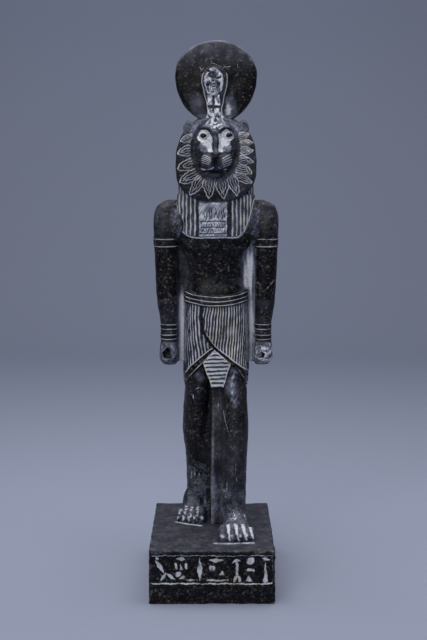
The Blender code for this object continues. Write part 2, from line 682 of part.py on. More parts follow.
def make_lock(angle, spread):
    """One leaf-shaped lock: widest in its middle, with a sharp ridge from root to tip."""
    root, middle, tip = LOCK_SHARES
    narrow = LOCK_ROOT_WIDTH * spread
    corners = [(angle - narrow, root), (angle + narrow, root), (angle + spread, middle),
               (angle, tip), (angle - spread, middle)]
    bm = bmesh.new()

    def vert(turn, share, lift):
        x, z = mane_point(turn, share)
        return bm.verts.new(world(x, mane_front(share) - lift, z))

    deep = [vert(turn, share, -LOCK_DEPTH) for turn, share in corners]
    rim = [vert(turn, share, LOCK_RIM_LIFT) for turn, share in corners]
    low, high = vert(angle, root, LOCK_RELIEF), vert(angle, middle, LOCK_RELIEF)
    bm.faces.new(deep)
    for i in range(5):
        j = (i + 1) % 5
        bm.faces.new((deep[i], rim[i], rim[j], deep[j]))
    bm.faces.new((rim[0], low, rim[1]))
    bm.faces.new((rim[1], low, high, rim[2]))
    bm.faces.new((rim[2], high, rim[3]))
    bm.faces.new((rim[3], high, rim[4]))
    bm.faces.new((rim[4], high, low, rim[0]))
    return link("lock", bm)


def face_front(x, z):
    """Depth of the face at x and z: a domed skull with one rounded rise for each form."""
    across = (x - FACE_MIDDLE[0]) / FACE_HALF[0]
    up = (z - FACE_MIDDLE[1]) / FACE_HALF[1]
    y = FACE_RIM - FACE_DOME * math.sqrt(max(0.0, 1.0 - across ** 2 - up ** 2))
    forms = list(FACE_FORMS.values())
    for cx, *shape in FACE_PAIRS.values():
        forms += [(cx, *shape), (-cx, *shape)]
    for cx, cz, wide, high, rise in forms:
        y -= rise * max(0.0, 1.0 - ((x - cx) / wide) ** 2 - ((z - cz) / high) ** 2)
    return y


def make_face():
    """The lion's face as a loft of level sections, each following the face's depth."""
    rings = []
    for i in range(FACE_ROWS + 1):
        up = 2 * (i + 0.5) / (FACE_ROWS + 1) - 1
        half = FACE_HALF[0] * (1 - abs(up) ** FACE_SQUARENESS) ** (1 / FACE_SQUARENESS)
        z = FACE_MIDDLE[1] + up * FACE_HALF[1]
        columns = np.linspace(FACE_MIDDLE[0] - half, FACE_MIDDLE[0] + half, FACE_COLUMNS + 1)
        back = [(float(x), FACE_BACK, z) for x in (columns[-1], columns[0])]
        rings.append([(float(x), face_front(float(x), z), z) for x in columns] + back)
    return combine(loft("face", rings), [ellipsoid("ear", EAR, side) for side in (-1, 1)])


# Sun disc and cobra

def make_disc():
    """The sun disc, round above and drawn in to a narrow foot, thickest in the middle."""
    rings = []
    for share, y in DISC_LEVELS:
        above = arc_points(((0.0, DISC_MIDDLE), (DISC_HALF * share, DISC_ABOVE * share), 0.0, 180.0), 18)
        below = arc_points(((0.0, DISC_MIDDLE), (DISC_HALF * share, DISC_BELOW * share), 180.0, 360.0), 18)
        rings.append([(x, y, z) for x, z in above[:-1] + below[:-1]])
    return loft("disc", rings)


def make_cobra():
    """The rearing cobra on the forehead: spread hood, body down its middle, and head."""
    hood = loft("hood", [ring(station, 12) for station in COBRA_HOOD])
    body = loft("body", [ring(station, 8) for station in COBRA_BODY])
    return combine(hood, [body, ellipsoid("cobra head", COBRA_HEAD)])


def make_head():
    """Wig, mane, face, sun disc and cobra."""
    wig = loft("wig", [ring(station, 32, 0.0, STRIPE_RELIEF / 2) for station in WIG])
    return combine(wig, [make_mane(), make_face(), make_disc(), make_cobra()])


def tidy(obj):
    """Weld the slivers that the unions leave, and join what is flat already."""
    bm = bmesh.new()
    bm.from_mesh(obj.data)
    bmesh.ops.remove_doubles(bm, verts=bm.verts, dist=WELD)
    bmesh.ops.dissolve_limit(bm, angle_limit=math.radians(FLAT_WITHIN), verts=bm.verts, edges=bm.edges)
    bmesh.ops.triangulate(bm, faces=bm.faces, ngon_method="EAR_CLIP")
    bm.to_mesh(obj.data)
    bm.free()


def stone_material():
    material = bpy.data.materials.new("dark polished stone")
    material.use_nodes = True
    shader = material.node_tree.nodes["Principled BSDF"]
    shader.inputs["Base Color"].default_value = STONE_COLOUR
    shader.inputs["Roughness"].default_value = STONE_ROUGHNESS
    shader.inputs["Metallic"].default_value = 0.0
    return material


def main():
    empty_scene()
    statue = make_plinth()
    arms = [make_arm(side) for side in (-1, 1)]
    parts = [make_legs(), make_kilt(), make_torso()] + arms + [make_fall(), make_head()]
    combine(statue, parts + make_strokes())
    tidy(statue)
    statue.data.materials.clear()
    statue.data.materials.append(stone_material())


main()
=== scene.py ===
# %% [markdown]
# # A striding lion-headed deity, carved from one block of dark granite
#
# The real statuette is a single piece of near-black stone, polished and then worn, with a pale
# dust caught in its carving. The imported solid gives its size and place. Here it gets its finish:
# smooth limbs, carved pleats, stripes, locks and signs, and a stone whose grain runs through
# all of it.

import math

import bpy
import numpy as np
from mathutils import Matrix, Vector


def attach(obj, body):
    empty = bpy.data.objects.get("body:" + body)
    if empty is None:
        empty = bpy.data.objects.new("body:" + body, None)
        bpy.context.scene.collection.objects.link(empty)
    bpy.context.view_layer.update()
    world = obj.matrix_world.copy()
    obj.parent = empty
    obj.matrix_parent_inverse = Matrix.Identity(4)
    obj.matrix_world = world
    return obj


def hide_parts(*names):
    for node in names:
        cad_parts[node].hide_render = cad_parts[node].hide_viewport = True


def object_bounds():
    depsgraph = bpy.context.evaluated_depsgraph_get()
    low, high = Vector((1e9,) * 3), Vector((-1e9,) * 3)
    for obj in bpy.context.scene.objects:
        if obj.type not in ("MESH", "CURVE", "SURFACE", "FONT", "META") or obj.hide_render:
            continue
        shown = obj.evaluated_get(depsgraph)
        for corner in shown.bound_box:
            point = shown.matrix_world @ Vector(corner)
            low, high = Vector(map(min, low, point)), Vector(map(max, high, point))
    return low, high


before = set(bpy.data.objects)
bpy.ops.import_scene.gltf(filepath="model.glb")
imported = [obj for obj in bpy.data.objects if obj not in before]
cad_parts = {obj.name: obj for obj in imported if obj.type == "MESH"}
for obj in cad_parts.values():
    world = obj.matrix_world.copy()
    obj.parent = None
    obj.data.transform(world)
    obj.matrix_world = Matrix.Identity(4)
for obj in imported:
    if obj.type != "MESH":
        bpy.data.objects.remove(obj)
cad_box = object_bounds()
print("solid from", [round(v, 4) for v in cad_box[0]], "to", [round(v, 4) for v in cad_box[1]])

# %% [markdown]
# ## Camera
#
# The photograph looks slightly down on the statuette with a long lens from 0.7 m. These
# numbers were worked out from the plinth's corners in the photograph.

# %% Camera
MM = 0.001


def new_object(name, data):
    """An object for a mesh, light or camera, put into the scene."""
    made = bpy.data.objects.new(name, data)
    bpy.context.scene.collection.objects.link(made)
    return made


CAMERA_AT = (0.07, -700.1, 238.9)
LOOKS_DOWN, LOOKS_ASIDE = 0.12268, -0.0012
lens = bpy.data.cameras.new("camera")
lens.lens = 68.6
lens.sensor_width = 36
lens.clip_start = 0.01
camera = new_object("camera", lens)
camera.location = [value * MM for value in CAMERA_AT]
camera.rotation_euler = (math.pi / 2 - LOOKS_DOWN, 0, LOOKS_ASIDE)
bpy.context.scene.camera = camera
print(f"{lens.lens:.1f} mm lens, {-CAMERA_AT[1] * MM:.1f} m in front")

# %% [markdown]
# ## Colours
#
# Colours are easiest to read as the hex numbers of a picture, but shaders work in linear light.
# One function turns the one into the other.


# %% Colours
def colour(hexes):
    """Linear colour from an sRGB hex number: c / 12.92 when dark, else ((c + 0.055) / 1.055) ^ 2.4."""
    shares = [int(hexes[i:i + 2], 16) / 255 for i in (1, 3, 5)]
    return [c / 12.92 if c <= 0.04045 else ((c + 0.055) / 1.055) ** 2.4 for c in shares] + [1]


# %% [markdown]
# ## Floor and light
#
# A studio sweep is one pale sheet that lies flat and curves up behind the object, so no
# horizon shows. It is a profile of points carried along the width of the sheet. The light is soft:
# a panel low overhead, which leaves the far wall darker than the floor, a small one that lifts
# the wall a little, and a weak one in front.

# %% Floor
CURVE_START, CURVE_RADIUS, SWEEP_TOP, SWEEP_FRONT, SWEEP_HALF = 0.85, 0.5, 2.6, -2, 2.6
turns = np.linspace(0, math.pi / 2, 24)
profile = [(SWEEP_FRONT, 0)]
profile += [(CURVE_START + CURVE_RADIUS * math.sin(t), CURVE_RADIUS * (1 - math.cos(t))) for t in turns]
profile += [(CURVE_START + CURVE_RADIUS, SWEEP_TOP)]
sweep_points = [(side * SWEEP_HALF, y, z) for y, z in profile for side in (-1, 1)]
sweep_faces = [(2 * i, 2 * i + 1, 2 * i + 3, 2 * i + 2) for i in range(len(profile) - 1)]
sweep_mesh = bpy.data.meshes.new("sweep")
sweep_mesh.from_pydata(sweep_points, [], sweep_faces)
sweep_mesh.shade_smooth()
new_object("sweep", sweep_mesh)

paper = bpy.data.materials.new("matt paper, rolled smooth")
paper.use_nodes = True
paper_shader = paper.node_tree.nodes["Principled BSDF"]
paper_shader.inputs["Base Color"].default_value = colour("#9AA1B6")
paper_shader.inputs["Roughness"].default_value = 0.9
sweep_mesh.materials.append(paper)
print("sweep of", len(sweep_faces), "faces")


# %% Light
def panel_light(name, place, aim, width, height, watts):
    """A rectangular soft light at a place, facing a point."""
    data = bpy.data.lights.new(name, "AREA")
    data.shape = "RECTANGLE"
    data.size, data.size_y = width, height
    data.energy = watts
    light = new_object(name, data)
    light.location = place
    away = np.array(place) - np.array(aim)
    flat = math.hypot(away[0], away[1])
    light.rotation_euler = (math.atan2(flat, away[2]), 0, math.atan2(away[0], -away[1]))


PANELS = (
    ("overhead panel", (0, 0.04, 0.75), (0, 0, 0), 0.8, 0.6, 4.7),
    ("wall panel", (0, 0.85, 1.4), (0, 1.35, 1.1), 0.9, 0.3, 3.7),
    ("front panel", (-0.4, -1.3, 0.8), (0, 0, 0.16), 1, 0.8, 8))
for panel in PANELS:
    panel_light(*panel)
print(len(PANELS), "soft panels")

world = bpy.data.worlds.new("studio")
world.use_nodes = True
world.node_tree.nodes["Background"].inputs["Color"].default_value = colour("#C9D0E0")
world.node_tree.nodes["Background"].inputs["Strength"].default_value = 0.175
bpy.context.scene.world = world
bpy.context.scene.view_settings.view_transform = "Standard"

# %% [markdown]
# ## How the pieces are made
#
# A rounded limb can be described by a few level sections. Smooth curves run through those
# sections, and a ring of points is set at many heights between them. Joining ring to ring
# gives a closed skin. Every piece below is made this way, from arrays of points, and carving is
# a small move of the points plus a value that tells the stone where the carving is.
#
# The figure is drawn in millimetres: x from its own axis, y from the plinth's centre, z from the
# top of the plinth.


# %% Smooth curves and squared rounds
def smoothed(table, at):
    """Columns of a table at new values of its first one, on cubic curves through its rows.

    Between rows the curve is the cubic with the rows' values and slopes at its ends, and each
    row's slope is the mean of the slopes on its two sides, the nearer side weighing more.
    """
    rows = np.array(table, float)
    x, y = rows[:, 0], rows[:, 1:]
    gap = np.diff(x)[:, None]
    rise = np.diff(y, axis=0) / gap
    between = (rise[:-1] * gap[1:] + rise[1:] * gap[:-1]) / (gap[:-1] + gap[1:])
    slope = np.vstack((rise[:1], between, rise[-1:]))
    i = np.clip(np.searchsorted(x, at, "right") - 1, 0, len(x) - 2)
    t = ((at - x[i]) / gap[i, 0])[:, None]
    low = (1 + 2 * t) * (1 - t) ** 2 * y[i] + t * (1 - t) ** 2 * gap[i] * slope[i]
    return low + t * t * (3 - 2 * t) * y[i + 1] + t * t * (t - 1) * gap[i] * slope[i + 1]


def signed_power(value, power):
    """The size of a value to a power, with the value's own sign."""
    return np.sign(value) * np.abs(value) ** power


def round_angles(count, aspect, power):
    """Angles that space points evenly round a superellipse of that aspect and squareness."""
    fine = np.linspace(0, math.tau, 4001)
    x = signed_power(np.cos(fine), 2 / power)
    y = aspect * signed_power(np.sin(fine), 2 / power)
    run = np.concatenate(([0], np.cumsum(np.hypot(np.diff(x), np.diff(y)))))
    return np.interp(np.arange(count) / count * run[-1], run, fine)


# %% Level sections
def section_points(table, heights, angle, grow=0):
    """Points at heights and angles on sections (z, centre x, half width, front y, back y, squareness).

    A superellipse's point at an angle is (half * |cos| ^ (2/p), depth * |sin| ^ (2/p)) with the
    signs of the cosine and sine. grow moves every point outward by a distance.
    """
    centre, half, front, back, power = smoothed(table, heights.ravel()).T.reshape(5, *heights.shape)
    x = centre + (half + grow) * signed_power(np.cos(angle), 2 / power)
    y = (front + back) / 2 + ((back - front) / 2 + grow) * signed_power(np.sin(angle), 2 / power)
    return np.stack((x, y, np.broadcast_to(heights, x.shape)), -1)


def sections(table, heights, count, grow=0):
    """Rings of evenly spaced points at many heights through a table of sections."""
    heights = np.asarray(heights, float)
    _, half, front, back, power = smoothed(table, heights).T
    aspect = ((back - front) / 2 + grow) / (half + grow)
    return section_points(table, heights[:, None], round_angles(count, aspect.mean(), power.mean()), grow)


# %% [markdown]
# ## Wear
#
# Stone that was rubbed by hand is never quite even, and dust doesn't lie evenly on it. Sine waves
# in seeded directions give both, the same on every run.


# %% Wear
def worn(points):
    """Points moved by a slow swell of about 0.1 mm, as hand-rubbed stone is never quite even.

    The swell is a sum of sine waves 6 to 16 mm long in seeded directions, each pushing its own
    way. It depends on the place alone, so pieces that touch move together.
    """
    rng = np.random.default_rng(11)
    moved = points.copy()
    for length in np.linspace(6, 16, 9):
        along, push = rng.normal(size=(2, 3))
        along *= math.tau / length / np.linalg.norm(along)
        moved += 0.07 * np.sin(points @ along + rng.uniform(0, 6))[:, None] * push / np.linalg.norm(push)
    return moved


def mottle(x, y, z, shortest, longest, seed):
    """An uneven value of about -1 to 1 at each point: sine waves in seeded directions, added up."""
    rng = np.random.default_rng(seed)
    total = 0
    for length in np.linspace(shortest, longest, 8):
        along = rng.normal(size=3)
        along *= math.tau / length / np.linalg.norm(along)
        total = total + np.sin(x * along[0] + y * along[1] + z * along[2] + rng.uniform(0, 6))
    return total / 3.5


# %% [markdown]
# ## From rings to a mesh
#
# Four-sided faces join each ring to the next, and a fan of triangles closes each end. The sign of
# the skin's volume says whether its faces look outward.

# %% Meshes
FIGURE_X, PLINTH_TOP = 2.4, 30.5
ORIGIN = (FIGURE_X, 0, PLINTH_TOP)
HAIR = 0.00002


def faces_of(rings):
    """Quads between rings and a fan over each end, as arrays of vertex numbers."""
    rows, count = rings.shape[:2]
    index = np.arange(rows * count).reshape(rows, count)
    ahead = np.roll(index, -1, axis=1)
    quads = np.stack((index[:-1], ahead[:-1], ahead[1:], index[1:]), -1).reshape(-1, 4)
    low, high = rows * count, rows * count + 1
    first = np.stack((ahead[0], index[0], np.full(count, low)), -1)
    last = np.stack((index[-1], ahead[-1], np.full(count, high)), -1)
    return quads, np.vstack((first, last))


def in_metres(points):
    """Drawn millimetres to metres on the plinth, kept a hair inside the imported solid's box."""
    low, high = (np.array(corner) for corner in cad_box)
    place = (worn(points) + ORIGIN) * MM
    return np.clip(place, low + HAIR * np.array((1, 1, 0)), high - HAIR)


# %% A mesh from skins
def figure_mesh(name, shells):
    """A mesh in metres over closed skins, each turned outward by the sign of its volume.

    The volume is the sum over triangles of a . (b x c) / 6, and is negative inside out.
    """
    verts, faces, start = [], [], 0
    for rings in shells:
        points = np.vstack((rings.reshape(-1, 3), rings[0].mean(0), rings[-1].mean(0)))
        quads, fans = faces_of(rings)
        tris = np.vstack((fans, quads[:, :3], quads[:, [0, 2, 3]]))
        a, b, c = (points - points.mean(0))[tris].transpose(1, 0, 2)
        if np.einsum("ij,ij->", a, np.cross(b, c)) < 0:
            quads, fans = quads[:, ::-1], fans[:, ::-1]
        verts.append(points)
        faces += (quads + start).tolist() + (fans + start).tolist()
        start += len(points)
    mesh = bpy.data.meshes.new(name)
    mesh.from_pydata(in_metres(np.vstack(verts)), [], faces)
    mesh.validate()
    return mesh

# %% [markdown]
# ## Finished pieces
#
# Every piece is part of one stone, so it rides on the statue's only body, stands for the packed
# solid and shares its finish. Three values at each point tell the stone how far it is cut, how
# much loose dust lies there and how thick the grey haze is. On faces that look up, the haze is
# also painted top light.

# %% Finished pieces
SETTLED_AND_TOP_LIGHT = 0.13
OBJECTS = []


def finish_piece(name, mesh, carving, dust, haze):
    """Make the mesh a piece of the statue, with the carving, dust and haze of each point (0 to 1).

    Haze is a thin even film. It is also laid on all that faces up, by the height of the normal, as
    settled dust and as painted top light, the lightening that light from above gives.
    """
    mesh.shade_smooth()
    normals = np.empty(len(mesh.vertices) * 3, np.float32)
    mesh.vertex_normals.foreach_get("vector", normals)
    # Faces that look up get more haze: settled dust and painted top light.
    settled_and_top_light = SETTLED_AND_TOP_LIGHT * np.clip((normals[2::3] - 0.2) / 0.8, 0, 1)
    for label, values in (("carving", carving), ("dust", dust), ("haze", np.maximum(haze, settled_and_top_light))):
        layer = mesh.attributes.new(label, "FLOAT", "POINT")
        layer.data.foreach_set("value", np.clip(values, 0, 1).astype(np.float32))
    piece = new_object(name.replace(" ", "_"), mesh)
    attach(piece, "root")
    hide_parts("statue")
    OBJECTS.append(piece)
    print(f"{name}: {sum(len(p.vertices) - 2 for p in mesh.polygons)} triangles")


def carved(name, rings, carving=0, dust=0, haze=0):
    """One carved piece from its rings, with values per ring point."""
    values = [np.broadcast_to(v, rings.shape[:2]) for v in (carving, dust, haze)]
    ends = [np.concatenate((v.ravel(), [v[0].mean(), v[-1].mean()])) for v in values]
    finish_piece(name, figure_mesh(name, [rings]), *ends)

# %% [markdown]
# ## Drawing on the stone
#
# Most of the carving is lines and patches seen from the front. A line is a path of points, and
# the depth of a cut falls from 1 on the path to 0 at the cut's edge. A patch is a soft ellipse.


# %% Soft edges
def step(value, low, high):
    """0 below low, 1 above high, and 3t^2 - 2t^3 between."""
    t = np.clip((value - low) / (high - low), 0, 1)
    return t * t * (3 - 2 * t)


def within(value, low, high, soft):
    """1 between low and high, falling to 0 over a soft edge outside them."""
    return step(value, low - soft, low) * (1 - step(value, high, high + soft))


def line(offset, half, peak=1):
    """A ridge along offset 0: peak - distance / half width, kept between 0 and 1."""
    return np.clip(peak - np.abs(offset) / half, 0, 1)


def most(*values):
    """The greatest of several values at each point."""
    return np.maximum.reduce(values)


# %% Paths
def bend(points, count):
    """A path through points, rounded by the smooth curves above."""
    points = np.array(points, float)
    table = np.column_stack((np.arange(len(points)), points))
    return smoothed(table, np.linspace(0, len(points) - 1, count))


def by_hand(x, z, reach):
    """x and z swayed by a fraction of a millimetre, so that ruled carving looks cut by hand."""
    sway_x = np.sin(0.83 * z + 0.31 * x + 1) + 0.7 * np.sin(2.3 * z - 1.1 * x + 2)
    sway_z = np.sin(0.74 * x - 0.42 * z + 4) + 0.7 * np.sin(2.1 * x + 1.3 * z)
    return x + reach * sway_x, z + reach * sway_z


def away_from(x, z, path):
    """Distance of each point from the nearest segment of a path."""
    best = np.full(np.shape(x), 1e9)
    for (ax, az), (bx, bz) in zip(path[:-1], path[1:]):
        dx, dz = bx - ax, bz - az
        t = np.clip(((x - ax) * dx + (z - az) * dz) / (dx * dx + dz * dz), 0, 1)
        best = np.minimum(best, np.hypot(x - ax - t * dx, z - az - t * dz))
    return best


# %% Cuts and patches
def cuts(x, z, paths, half, bends=0):
    """Depth 0 to 1 of the nearest cut, 1 on its path and 0 at its half width.

    With bends, each path is first rounded into that many points.
    """
    depth = np.zeros(np.shape(x))
    for path in paths:
        path = bend(path, bends) if bends else path
        depth = np.maximum(depth, line(away_from(x, z, path), half))
    return depth


def patch(x, z, middle, radii, turn=0):
    """A soft ellipse: 1 at its middle, falling as 1 - r^2 to 0 at its edge."""
    c, s = math.cos(math.radians(turn)), math.sin(math.radians(turn))
    u = ((x - middle[0]) * c + (z - middle[1]) * s) / radii[0]
    v = ((z - middle[1]) * c - (x - middle[0]) * s) / radii[1]
    return np.clip(1 - u * u - v * v, 0, 1)


# %% [markdown]
# ## Plinth
#
# The plinth is the uncut lower end of the block, sawn square and rubbed flat, with worn edges.
# A panel is sunk in its front, and the signs are cut into that. Its rings run from the middle of
# the underside out, up the sides and in over the top, with most of their points on the front.

# %% Plinth sizes and signs
PLINTH_WIDTH, PLINTH_DEPTH = 70, 98
PLINTH_EDGE = 1
PANEL_HALF, PANEL_LOW, PANEL_HIGH = 33.7, -18.9, -3
PANEL_SINK, SIGN_SINK = 0.5, 0.45
STROKE = ((-1, -1), (1, -1), (1, 1), (-1, 1))
LOZENGE = ((-1, 0), (0, -1), (1, 0), (0, 1))
WEDGE = ((-1, -1), (1, -1), (0.15, 1), (-0.15, 1))
ROUND = tuple((math.cos(i * math.pi / 6), math.sin(i * math.pi / 6)) for i in range(12))
# (share across, share up, width, height, lean in degrees, outline), shares in hundredths of the
# panel, and sizes in hundredths of its height
SIGNS = (
    (7, 62, 17, 66, -34, LOZENGE), (10, 24, 15, 42, 36, LOZENGE), (16, 26, 15, 46, -60, LOZENGE),
    (5, 90, 12, 12, 0, ROUND), (24.5, 88, 36, 15, 0, LOZENGE), (20.5, 62, 11, 24, 0, ROUND),
    (24.5, 60, 12, 24, 0, WEDGE), (29, 62, 10, 26, 0, ROUND), (22.5, 34, 20, 20, 0, ROUND),
    (26.2, 22, 34, 13, -24, LOZENGE), (32.5, 13, 42, 10, 2, LOZENGE), (40, 50, 20, 90, 0, LOZENGE),
    (53.5, 84, 58, 15, 0, LOZENGE), (50, 56, 24, 24, 0, ROUND), (58, 38, 22, 16, 0, WEDGE),
    (54.5, 12, 80, 7, 0, STROKE), (70, 82, 36, 12, -8, WEDGE), (70.5, 52, 9, 46, 0, STROKE),
    (69, 17, 10, 24, 14, STROKE), (72.5, 17, 10, 24, -14, STROKE), (81.5, 80, 27, 27, 0, ROUND),
    (81.5, 48, 28, 10, 0, STROKE), (80.5, 18, 28, 18, 0, WEDGE), (94, 88, 34, 13, 16, LOZENGE),
    (94, 40, 18, 72, 0, WEDGE))
HUNDREDTH = (PANEL_HIGH - PANEL_LOW) / 100


# %% Depth of a sign
def sign_depth(x, z, sign, soft=0.18):
    """1 inside a sign's outline and 0 outside, with a soft edge.

    A convex outline holds the points that lie left of every one of its sides, and how far left
    the nearest side is gives the soft edge.
    """
    across, up, width, height, lean, outline = sign
    turn = math.radians(lean)
    corners = np.array(outline, float) * (width / 2 * HUNDREDTH, height / 2 * HUNDREDTH)
    right = corners[:, 0] * math.cos(turn) + corners[:, 1] * math.sin(turn)
    rise = corners[:, 1] * math.cos(turn) - corners[:, 0] * math.sin(turn)
    px = PANEL_HALF * (across / 50 - 1) + right
    pz = PANEL_LOW + HUNDREDTH * up + rise
    inside = np.full(x.shape, 1e9)
    for i in range(len(px)):
        dx, dz = px[(i + 1) % len(px)] - px[i], pz[(i + 1) % len(px)] - pz[i]
        inside = np.minimum(inside, ((z - pz[i]) * dx - (x - px[i]) * dz) / math.hypot(dx, dz))
    return step(inside, -soft, soft)


# %% Rounded blocks
def rounded_block(half, counts, bends, levels):
    """Rings round a rounded rectangle, at levels (share of the outline, reach of the edge, height).

    A point is its corner times the half widths, plus its outward arrow times the edge's reach.
    counts are the points along the four sides, the front first, and bends those round a corner.
    """
    corners = np.array(((-1, -1), (1, -1), (1, 1), (-1, 1), (-1, -1)))
    cores, turns = [], []
    for quarter, count in enumerate(counts):
        run = np.linspace(0, 1, count)[:, None]
        cores.append(corners[quarter] * (1 - run) + corners[quarter + 1] * run)
        cores.append(np.tile(corners[quarter + 1], (bends - 2, 1)))
        facing = (quarter - 1) * math.pi / 2
        turns += [np.full(count, facing), facing + np.linspace(0, math.pi / 2, bends)[1:-1]]
    core, turns = np.vstack(cores) * half, np.concatenate(turns)
    out = np.column_stack((np.cos(turns), np.sin(turns)))
    return np.array([np.column_stack((core * s + out * e, np.full(len(core), z))) for s, e, z in levels])


def slab(low, high, ease=0.6):
    """Rings of an upright block between two corners, its upright edges rounded, its ends drawn in."""
    low, high = np.array(low), np.array(high)
    half = (high - low)[:2] / 2 - ease
    counts = [max(2, int(2 * width)) + 2 for width in half] * 2
    levels = [(1, 0, low[2])] + [(1, ease, z) for z in np.linspace(low[2] + ease, high[2] - ease, 40)]
    rings = rounded_block(half, counts, 4, levels + [(1, 0, high[2])])
    rings[..., :2] += (low + high)[:2] / 2
    return rings


# %% Plinth rings
levels = [(s, 0.6, -PLINTH_TOP) for s in (0.3, 0.6, 0.85, 0.97)] + [(1, 0.7, -PLINTH_TOP)]
levels += [(1, PLINTH_EDGE, z) for z in np.linspace(-PLINTH_TOP + 0.4, -PLINTH_EDGE - 0.1, 104)]
levels += [(1, PLINTH_EDGE * math.cos(t), PLINTH_EDGE * (math.sin(t) - 1))
           for t in np.linspace(0.1, math.pi / 2, 7)]
levels += [(s, 0, 0) for s in np.linspace(0.99, 0.05, 30)]
half = (PLINTH_WIDTH / 2 - PLINTH_EDGE, PLINTH_DEPTH / 2 - PLINTH_EDGE)
rings = rounded_block(half, (260, 34, 34, 34), 6, levels)
print("plinth of", rings.shape[0], "rings of", rings.shape[1], "points")

# %% Plinth wear and signs
WEAR_REACH = 2.4
x, y, z = rings.transpose(2, 0, 1)
from_side, from_front, from_top = PLINTH_WIDTH / 2 - np.abs(x), PLINTH_DEPTH / 2 - np.abs(y), -z
from_low = PLINTH_TOP + z
edges = ((from_side, from_front), (from_side, from_top), (from_front, from_top), (from_front, from_low))
near_edge = most(*(line(np.hypot(one, other), WEAR_REACH) for one, other in edges))
bite = np.clip(mottle(x, y, z, 3, 14, 21) - 0.1, 0, 1) * near_edge
on_front = step(-y, PLINTH_DEPTH / 2 - 0.3, PLINTH_DEPTH / 2 - 0.05)
hx, hz = by_hand(x, z, 0.16)
panel = within(hx, -PANEL_HALF, PANEL_HALF, 0.25) * within(hz, PANEL_LOW, PANEL_HIGH, 0.25) * on_front
signs = most(*(sign_depth(hx, hz, sign) for sign in SIGNS)) * panel
rings[..., 1] += PANEL_SINK * panel + SIGN_SINK * signs
rings[..., 0] -= 0.9 * bite * np.sign(x)
rings[..., 1] -= 0.7 * bite * np.sign(y)
rings[..., 2] -= 0.5 * bite * np.where(z > -PLINTH_TOP / 2, 1, -1)

# %% Plinth dust
upper = cuts(hx, hz, [((-PANEL_HALF, PANEL_HIGH), (PANEL_HALF, PANEL_HIGH))], 0.62)
lower = 1.2 * cuts(hx, hz, [((-PANEL_HALF, PANEL_LOW), (PANEL_HALF, PANEL_LOW))], 0.85)
ends = cuts(hx, hz, [((s * PANEL_HALF, PANEL_LOW), (s * PANEL_HALF, PANEL_HIGH)) for s in (-1, 1)], 0.5)
broken = 0.86 + 0.24 * mottle(x, y, z, 1.6, 9, 23)
carving = most(signs, 0.95 * upper * on_front, 0.95 * lower * on_front, 0.62 * ends * on_front) * broken
rings[..., 0] -= FIGURE_X
x = rings[..., 0]
on_top = step(z, -0.2, 0)
toe_lines = [((-23.4, 6.4), (-16, 2), (-9.4, -1.6)), ((-0.6, -35.4), (10, -36), (20.6, -35.2))]
toe_line = 1.35 * cuts(x, y, toe_lines, 2) * on_top * (0.85 + 0.3 * mottle(x, y, z, 1.5, 6, 24))
wear = 0.34 * near_edge * (0.6 + 0.6 * mottle(x, y, z, 2, 9, 22)) * (z > -20)
# The plinth's top gets more haze than its sides: dust and painted top light.
top_haze_and_light = 0.14 * on_top * (1 + 0.3 * mottle(x, y, z, 6, 30, 25))
carved("plinth", rings, carving, np.maximum(wear, toe_line), top_haze_and_light)

# %% [markdown]
# ## Several skins as one
#
# Limbs and feet meet softly, as they are one stone. Balls and rounded blocks fill them out, and
# Blender's voxel remesher grows all of them into one skin, which is then carved point by point.


# %% Balls and one skin
def ball(centre, radii, rows=24, count=36):
    """Rings of an ellipsoid, from its lowest point to its highest."""
    tilt = np.linspace(-math.pi / 2, math.pi / 2, rows + 2)[1:-1, None]
    turn = np.linspace(0, math.tau, count, endpoint=False)[None]
    arrows = np.stack((np.cos(tilt) * np.cos(turn), np.cos(tilt) * np.sin(turn), np.sin(tilt) + 0 * turn), -1)
    return np.array(centre) + arrows * np.array(radii)


def fused(name, shells, voxel):
    """Several skins grown softly into one mesh by Blender's remesher, and its drawn points."""
    rough = new_object(name, figure_mesh(name, shells))
    remesh = rough.modifiers.new("one skin", "REMESH")
    remesh.mode = "VOXEL"
    remesh.voxel_size = voxel * MM
    soften = rough.modifiers.new("worn soft", "SMOOTH")
    soften.factor = 0.5
    soften.iterations = 4
    evaluated = rough.evaluated_get(bpy.context.evaluated_depsgraph_get())
    mesh = bpy.data.meshes.new_from_object(evaluated)
    bpy.data.objects.remove(rough, do_unlink=True)
    flat = np.empty(len(mesh.vertices) * 3)
    mesh.vertices.foreach_get("co", flat)
    return mesh, flat.reshape(-1, 3) / MM - ORIGIN


def set_points(mesh, points):
    """Put drawn millimetres back into a mesh."""
    mesh.vertices.foreach_set("co", ((points + ORIGIN) * MM).ravel())
    mesh.update()


# %% [markdown]
# ## Legs and feet
#
# The legs stride, the left one forward, and a web of uncut stone joins them so that nothing
# thin can snap. Each leg is a skin over level sections, and each foot one over upright sections,
# with five rounded toes.

# %% Leg and foot sections
# Sections as (z, middle x, half width, front y, back y, squareness)
REAR_LEG = (
    (-1, -11.4, 6.4, 23.5, 38, 2.4), (10, -11.2, 6.3, 23, 37.5, 2.4),
    (24, -11.4, 6.4, 20.5, 36.5, 2.4), (38, -11.4, 6.9, 17, 36, 2.3),
    (55, -11.9, 8.2, 13, 36, 2.3), (70, -11.6, 7.6, 9, 34, 2.3),
    (84, -10.6, 7.6, 7, 33, 2.3), (104, -10, 7.8, 6.5, 33, 2.3))
FORWARD_LEG = (
    (-1, 9.8, 7.6, -14, 1.2, 2.4), (10, 9.7, 7.6, -13.5, 2, 2.4),
    (24, 10.2, 7.3, -12.5, 4, 2.4), (38, 10.6, 7.3, -12, 8, 2.3),
    (58, 11.1, 7.8, -9.5, 13, 2.3), (74, 11, 7.3, -6.5, 14, 2.3),
    (81, 10.6, 7.4, -3, 16.5, 2.2), (90, 9.8, 7, 1.2, 22, 2.2), (102, 9.4, 7.2, 5, 24, 2.2))
